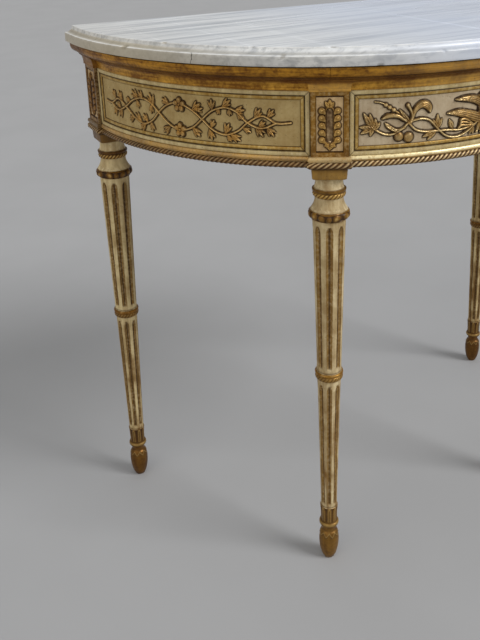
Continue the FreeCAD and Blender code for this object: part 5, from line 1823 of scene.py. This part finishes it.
        # A cup on the acorn foot, whose rim zigzags in tips, with painted shade in the zigzag and a painted
        # highlight above it; painted shade on the collar; then plain coves made brighter, and painted highlights on
        # two beads
        zigzag = 2 * np.abs(2 * ((turn * self.cup_tips / FULL_TURN) % 1.0) - 1) - 1
        cup, high = self.cup.holds(level), self.cup.high
        tip = level - (self.cup.low + high) / 2 - 3.4 * zigzag
        radius = radius + self.cup_depth * smoothstep(tip, -0.6, 0.6) * (1 - smoothstep(level, high - 3, high)) * cup
        hollow = np.maximum.reduce([hollow, bell(tip + 0.4, 0.8) * 0.85 * cup,
                                    0.6 * self.dark_collar.holds(level) + 0 * turn])
        rubbed = bell(tip - 1.6, 1.1) * 0.9 * cup
        for cove, share in self.bright_coves:
            rubbed = rubbed + share * cove.holds(level)
        for middle, width, share in self.bright_beads:
            rubbed = rubbed + share * bell(level - middle, width)
        points = at_leg(leg, radius * np.cos(turn), radius * np.sin(turn), level + 0 * turn)
        return points, {Mask.GILT: gilt, Mask.HOLLOW: hollow, Mask.RIDGE: np.maximum(ridge, rubbed)}

    def post(self, leg: Leg) -> Skin:
        """The square post: rectangular loops from its back, over its front edges and down into the sunk die.

        Args:
            leg: the leg.

        Returns:
            The grid and its masks.
        """
        out, half, low, high, gilt, hollow, bare = np.array(self.post_loops).T[:, :, None]
        aside, rise = round_box(np.linspace(-1, 1, self.post_columns)[:-1], np.linspace(0, 1, self.post_rows)[:-1])
        points = at_leg(leg, out + 0 * aside, half * aside, low + (high - low) * rise)
        return points, {Mask.GILT: gilt, Mask.HOLLOW: hollow, Mask.BARE: bare}

    def neck_block(self, leg: Leg) -> Skin:
        """The square neck: loops of a square whose corners are rounded by a low power of sine and cosine.

        Args:
            leg: the leg.

        Returns:
            The grid and its masks.
        """
        level, half, dark = np.array(self.neck).T[:, :, None]
        turn = np.linspace(0, FULL_TURN, self.neck_columns, endpoint=False)[None, :]
        out, aside = (half * np.sign(wave) * np.abs(wave) ** self.neck_power
                      for wave in (np.cos(turn), np.sin(turn)))
        shade = np.maximum(dark, self.wall_dirt if leg.wall_side else 0.0)
        # A painted highlight over the neck's gold; darker towards its ends and on the rear legs.
        return at_leg(leg, out, aside, level + 0 * turn), {
            Mask.GILT: 1.0, Mask.HOLLOW: shade, Mask.RIDGE: 0.3 * (1 - shade)}

    def medallion_relief(self) -> Relief:
        """Shell-like lobes in two columns about a long sunk oval, with a leaf above and a rosette below.

        Returns:
            The heights.
        """
        relief, well = Relief(*self.medallion_size), Relief(*self.medallion_size)
        for side in (-1, 1):
            for level in self.lobe_levels:
                spine = [(side * 7.0, level - 3.4), (side * 9.4, level - 1.2), (side * 11.0, level)]
                relief.stroke(spine, [(0, 2.0), (0.6, 4.6), (1, 5.0)], cup_crown, 3.3)
                relief.berry((side * 11.2, level + 0.4), 2.0, 3.7)
        oval = [(0, -21.5), (0, 0), (0, 18.5)]
        relief.stroke(oval, [(0, 7.2), (1, 7.2)], round_crown, 2.9)
        well.stroke(oval, [(0, 5.0), (1, 5.0)], flat_crown, 1.0)
        sunk, edge = smoothstep(blur(well.height, 1), 0.3, 0.7), blur(well.height, 2)
        relief.height = relief.height * (1 - sunk) + 0.9 * sunk
        relief.painted = smoothstep(edge, 0.85, 1.0)
        # A ring of painted shade round the edge of the sunk oval.
        relief.rim = np.clip(3.6 * edge * (1 - edge), 0, 0.9)
        relief.trefoil((0, 22.0), (0, 36.0), 13.5, 3.2, 0.6)
        relief.trefoil((0, -25.5), (0, -37.5), 19.0, 3.2, 0.95)
        return relief

    def build(self) -> None:
        """Make and place the legs and their medallions, of which the rear ones are dirtier."""
        front, rear, carved, dull = (finish.build() for finish in (
            self.finish, self.rear_finish, self.medallion, self.rear_medallion))
        clean = self.medallion_relief()
        soiled = copy(clean)
        soiled.painted, soiled.rim = 0.25 * clean.painted, 0.4 * clean.rim
        for number, leg in enumerate(Leg):
            paint, gold, relief = (rear, dull, soiled) if leg.wall_side else (front, carved, clean)
            shell = Shell()
            for part in (self.turned, self.neck_block, self.post):
                shell.add_closed(*part(leg), by_rows=True)
            shell.place(f"{leg.word}_leg", paint, f"leg_{leg.word}", Slot.PAINTED)
            aside, out, up, masks = relief.sheet(self.medallion_seat, self.medallion_edge, self.medallion_rough,
                                                 self.medallion_seed + number)
            Shell().add_closed(at_leg(leg, out, aside, FRIEZE_MIDDLE + up), masks).place(
                f"{leg.word}_medallion", gold, f"medallion_{leg.word}")


# Slab

@dataclass
class Slab:
    """The marble slab: its moulded edge carried round the front and along both short returns.

    The edge's band and lip give inset and level. Painted highlights along the arrises give a level and a width,
    and chips a turn, a level, a depth and a width.
    """

    finish: Marble = Marble()
    radius: float = 478.0
    back: float = 255.5
    bottom: float = 855.0
    top: float = 880.0
    band: Spine = (
        (3.0, 855.0), (0.9, 855.0), (0.25, 855.3), (0.0, 856.0), (0.0, 859.0), (0.0, 865.5), (0.0, 868.7),
        (0.2, 869.4), (0.7, 869.85), (1.4, 870.0))
    lip: Spine = ((13.0, 879.1), (13.3, 879.7), (14.0, 880.0), (16.0, 880.0))
    cove_start: Spot = (1.7, 870.1)
    cove_size: Spot = (11.3, 8.4)
    arrises: Rows = ((869.7, 0.8), (879.4, 0.7))
    arc_columns: int = 760
    return_columns: int = 10
    chips: Rows = (
        (-158.5, 869.6, 2.2, 5.0), (-150.0, 879.6, 1.6, 4.0), (-133.0, 879.7, 1.4, 3.0), (-127.6, 869.6, 1.6, 3.4),
        (-119.5, 879.6, 2.0, 4.4), (-112.0, 855.5, 1.6, 4.0), (-101.0, 869.7, 1.3, 3.0), (-86.0, 879.7, 1.4, 3.4),
        (-63.0, 869.6, 1.6, 4.0), (-41.0, 855.6, 2.0, 5.0), (-22.0, 879.6, 1.5, 3.6))

    def edge(self) -> tuple[Array, Array]:
        """Inset and level of the edge from below: band, ledge, quarter hollow and lip, with eased arrises.

        Returns:
            Two columns.
        """
        (inset, level), (width, rise) = self.cove_start, self.cove_size
        cove = [(inset + width * math.sin(angle), level + rise * (1 - math.cos(angle)))
                for angle in np.linspace(0, math.pi / 2, 10)]
        rows = np.array([*self.band, *cove, *self.lip])
        return rows[:, :1], rows[:, 1:]

    def build(self) -> None:
        """Make and place the slab; chips press the edge inwards by a bell of their width."""
        inset, level = self.edge()
        arc = np.linspace(-180, 0, self.arc_columns)
        run = np.linspace(0, 1, self.return_columns)[:-1]
        turn = np.radians(np.concatenate([0 * run - 180, arc, 0 * run]))[None, :]
        back = np.concatenate([(1 - run), 0 * arc, run + run[1]])[None, :] * (self.back - ARC_Y)
        length = np.degrees(turn - np.where(turn < -math.pi / 2, 1, -1) * back / self.radius)
        # Painted shade in the cove of the edge; the band under the ledge is darkened as well.
        groove = smoothstep(inset, 1.6, 4.0) * smoothstep(inset, 13.0, 8.0)
        soil = 0.36 * smoothstep(level, 870.0, 869.0) + 0.5 * groove
        # Painted highlights along the arrises of the edge.
        arris = sum(bell(level - middle, width) for middle, width in self.arrises) * (inset < 14)
        nick = np.zeros(np.broadcast(inset, turn).shape)
        for place, height, depth, width in self.chips:
            away = np.radians(length - place) * self.radius
            nick = np.maximum(nick, depth * np.exp(-(away / width) ** 4) * bell(level - height, 1.3))
        nick[[0, -1]] = 0
        reach = self.radius - inset - nick
        x, y = reach * np.cos(turn), ARC_Y + back + reach * np.sin(turn)
        rim = np.stack(np.broadcast_arrays(x, y, level - nick * 0.4 * (level > 869)), -1)
        under, over = (np.stack(np.broadcast_arrays(row[:, 0], self.back, height), -1)[None]
                       for row, height in ((rim[0], self.bottom), (rim[-1], self.top)))
        hollow, ridge = (np.pad(np.clip(mask, 0, 0.7), ((1, 1), (0, 0)))
                         for mask in (soil + nick * 0.3, 0.6 * arris - nick))
        masks = {Mask.HOLLOW: hollow, Mask.RIDGE: ridge}
        Shell().add_closed(np.concatenate([under, rim, over]), masks).place(
            "marble_slab", self.finish.build(), "marble_top", Slot.MARBLE, Body.TOP)


# Hidden frame, stage and view

def dress_hidden() -> None:
    """Give the plain parts of the frame, which keep their shapes, their finishes."""
    for finish, names in (
            (BareWood("back_rail_wood", Grain.ALONG_X), ("back_rail",)),
            (BareWood("bearer_wood", Grain.ALONG_Y), ("bearer_left", "bearer_right")),
            (BareWood("block_wood", Grain.ALONG_Z, srgb(166, 132, 88), srgb(120, 88, 54)), ("corner_blocks",)),
            (BareWood("peg_wood", Grain.ALONG_Y, srgb(128, 92, 56), srgb(84, 58, 34)), ("tenon_pegs",)),
            (RailFinish(), ("apron_left", "apron_center", "apron_right")),
            (Plain("dark_felt", srgb(64, 58, 48), srgb(40, 36, 30), 600.0, 0.0, (0.85, 0.95)), ("bedding_pads",)),
            (Plain("old_steel", srgb(120, 116, 108), srgb(70, 60, 50), 300.0, 0.9, (0.35, 0.6)), ("block_screws",))):
        material = finish.build()
        for name in names:
            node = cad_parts[name]
            node.data.materials.clear()
            node.data.materials.append(material)
            log.info("%s: %s", name, material.name)


@dataclass(frozen=True)
class Lamp:
    """A far, soft lamp: direction from the table, angle that it fills, watts per square metre and colour."""

    name: str
    toward: Triple
    spread: float
    power: float
    color: Triple


@dataclass
class Studio:
    """Pale floor, soft lamps and the camera at the photograph's viewing angle."""

    eye: Triple = (-0.8037, -1.0984, 1.0570)
    yaw: float = math.radians(27.333)
    pitch: float = math.radians(18.327)
    roll: float = math.radians(-1.389)
    focal_pixels: float = 810.5
    middle: Spot = (268.8, 176.6)
    image: tuple[int, int] = (480, 640)
    sensor: float = 36.0
    pale: Color = srgb(169, 169, 169)
    mottle: Color = srgb(166, 166, 166)
    horizon: Color = (1.0, 0.93, 0.82, 1.0)
    zenith: Color = (0.93, 0.97, 1.04, 1.0)
    strengths: Spot = (0.5, 0.87)
    floor_columns: int = 96
    floor_rings: tuple[float, ...] = (0.05, 1.0, 4.0, 30.0)
    floor_roughness: float = 0.85
    lamp_distance: float = 3.0
    lamps: tuple[Lamp, ...] = (
        Lamp("key", (1.0, -1.25, 1.3), 24.0, 1.95, (0.98, 0.985, 1.0)),
        Lamp("fill", (-1.2, -0.7, 0.7), 60.0, 0.6, (1.0, 0.93, 0.8)))

    def stand(self, item: bpy.types.Object, axes: Sequence[Array], spot: Sequence[float]) -> None:
        """Stand an object in the scene.

        Args:
            item: the object.
            axes: directions of its own axes.
            spot: where it stands.
        """
        turned = Matrix.Identity(4)
        for row in range(3):
            turned[row][:] = (*(axis[row] for axis in axes), spot[row])
        item.matrix_world = turned
        bpy.context.scene.collection.objects.link(item)

    def floor(self) -> None:
        """A wide disc of pale matt paint with a faint mottle."""
        turn = np.linspace(0, FULL_TURN, self.floor_columns, endpoint=False)
        rings = np.array(self.floor_rings)[:, None]
        points = np.stack(np.broadcast_arrays(rings * np.cos(turn), rings * np.sin(turn), 0.0), -1)
        index = np.arange(rings.size * turn.size).reshape(rings.size, -1)
        wide = np.concatenate([index, index[:, :1]], 1)
        quads = np.stack([wide[:-1, :-1], wide[1:, :-1], wide[1:, 1:], wide[:-1, 1:]], -1).reshape(-1, 4)
        mesh = bpy.data.meshes.new("pale_floor")
        mesh.from_pydata(points.reshape(-1, 3).tolist(), [], quads.tolist() + [index[0].tolist()])
        paint = Surface("floor_paint")
        clouds = paint.between(paint.noise(paint.spot, 3.0, 3.0), 0.3, 0.7)
        paint.feed(paint.sockets["Base Color"], paint.mix(clouds, self.pale, self.mottle))
        paint.sockets["Roughness"].default_value = self.floor_roughness
        mesh.materials.append(paint.material)
        floor = bpy.data.objects.new("pale_floor", mesh)
        bpy.context.scene.collection.objects.link(floor)

    def light(self) -> None:
        """Set the lamps up, each of which lights the whole floor evenly."""
        for lamp in self.lamps:
            light = bpy.data.lights.new(lamp.name, "SUN")
            light.angle, light.energy, light.color = math.radians(lamp.spread), lamp.power, lamp.color
            away = np.array(lamp.toward) / np.linalg.norm(lamp.toward)
            right = np.cross((0, 0, 1), away)
            right /= np.linalg.norm(right)
            axes = (right, np.cross(away, right), away)
            self.stand(bpy.data.objects.new(lamp.name, light), axes, self.lamp_distance * away)

    def world(self) -> None:
        """Soft light from all round, warm at the horizon and cool overhead, with a pale backdrop."""
        world = bpy.data.worlds.new("studio")
        world.use_nodes = True
        nodes = Nodes(world.node_tree)
        background = next(node for node in world.node_tree.nodes if node.type == "BACKGROUND").inputs
        path = nodes.add("LightPath")
        away = nodes.add("TexCoord")["Generated"]
        height = nodes.add("SeparateXYZ", {"Vector": away})["Z"]
        sky = nodes.mix(nodes.between(height, 0.0, 0.8), self.horizon, self.zenith)
        shown = path["Is Camera Ray"]
        for ray in ("Is Glossy Ray", "Is Transmission Ray"):
            shown = nodes.math("MAXIMUM", shown, path[ray])
        nodes.feed(background["Color"], nodes.mix(shown, sky, self.pale))
        nodes.feed(background["Strength"], nodes.between(shown, 0.0, 1.0, *self.strengths))
        bpy.context.scene.world = world

    def camera(self) -> None:
        """The camera: its axes from yaw, pitch and roll, its shift from where the picture's middle lies."""
        ahead = np.array([math.sin(self.yaw) * math.cos(self.pitch), math.cos(self.yaw) * math.cos(self.pitch),
                          -math.sin(self.pitch)])
        level = np.array([math.cos(self.yaw), -math.sin(self.yaw), 0.0])
        over = np.cross(level, ahead)
        right = math.cos(self.roll) * level + math.sin(self.roll) * over
        up = math.cos(self.roll) * over - math.sin(self.roll) * level
        lens = bpy.data.cameras.new("view")
        width, height = self.image
        lens.sensor_width = self.sensor
        lens.lens = self.focal_pixels * self.sensor / height
        lens.shift_x = (width / 2 - self.middle[0]) / height
        lens.shift_y = (self.middle[1] - height / 2) / height
        item = bpy.data.objects.new("view", lens)
        self.stand(item, (right, up, -ahead), self.eye)
        bpy.context.scene.camera = item

    def build(self) -> None:
        """Set everything up and show colours as they are."""
        self.floor()
        self.world()
        self.light()
        self.camera()
        bpy.context.scene.view_settings.view_transform = "Standard"


def main() -> None:
    """Build the pieces in order, then the studio."""
    logging.basicConfig(level=logging.INFO, format="%(message)s")
    for part in (Slab(), Mouldings(), Panels(), Legs()):
        part.build()
    dress_hidden()
    Studio().build()


if __name__ == "__main__":
    main()
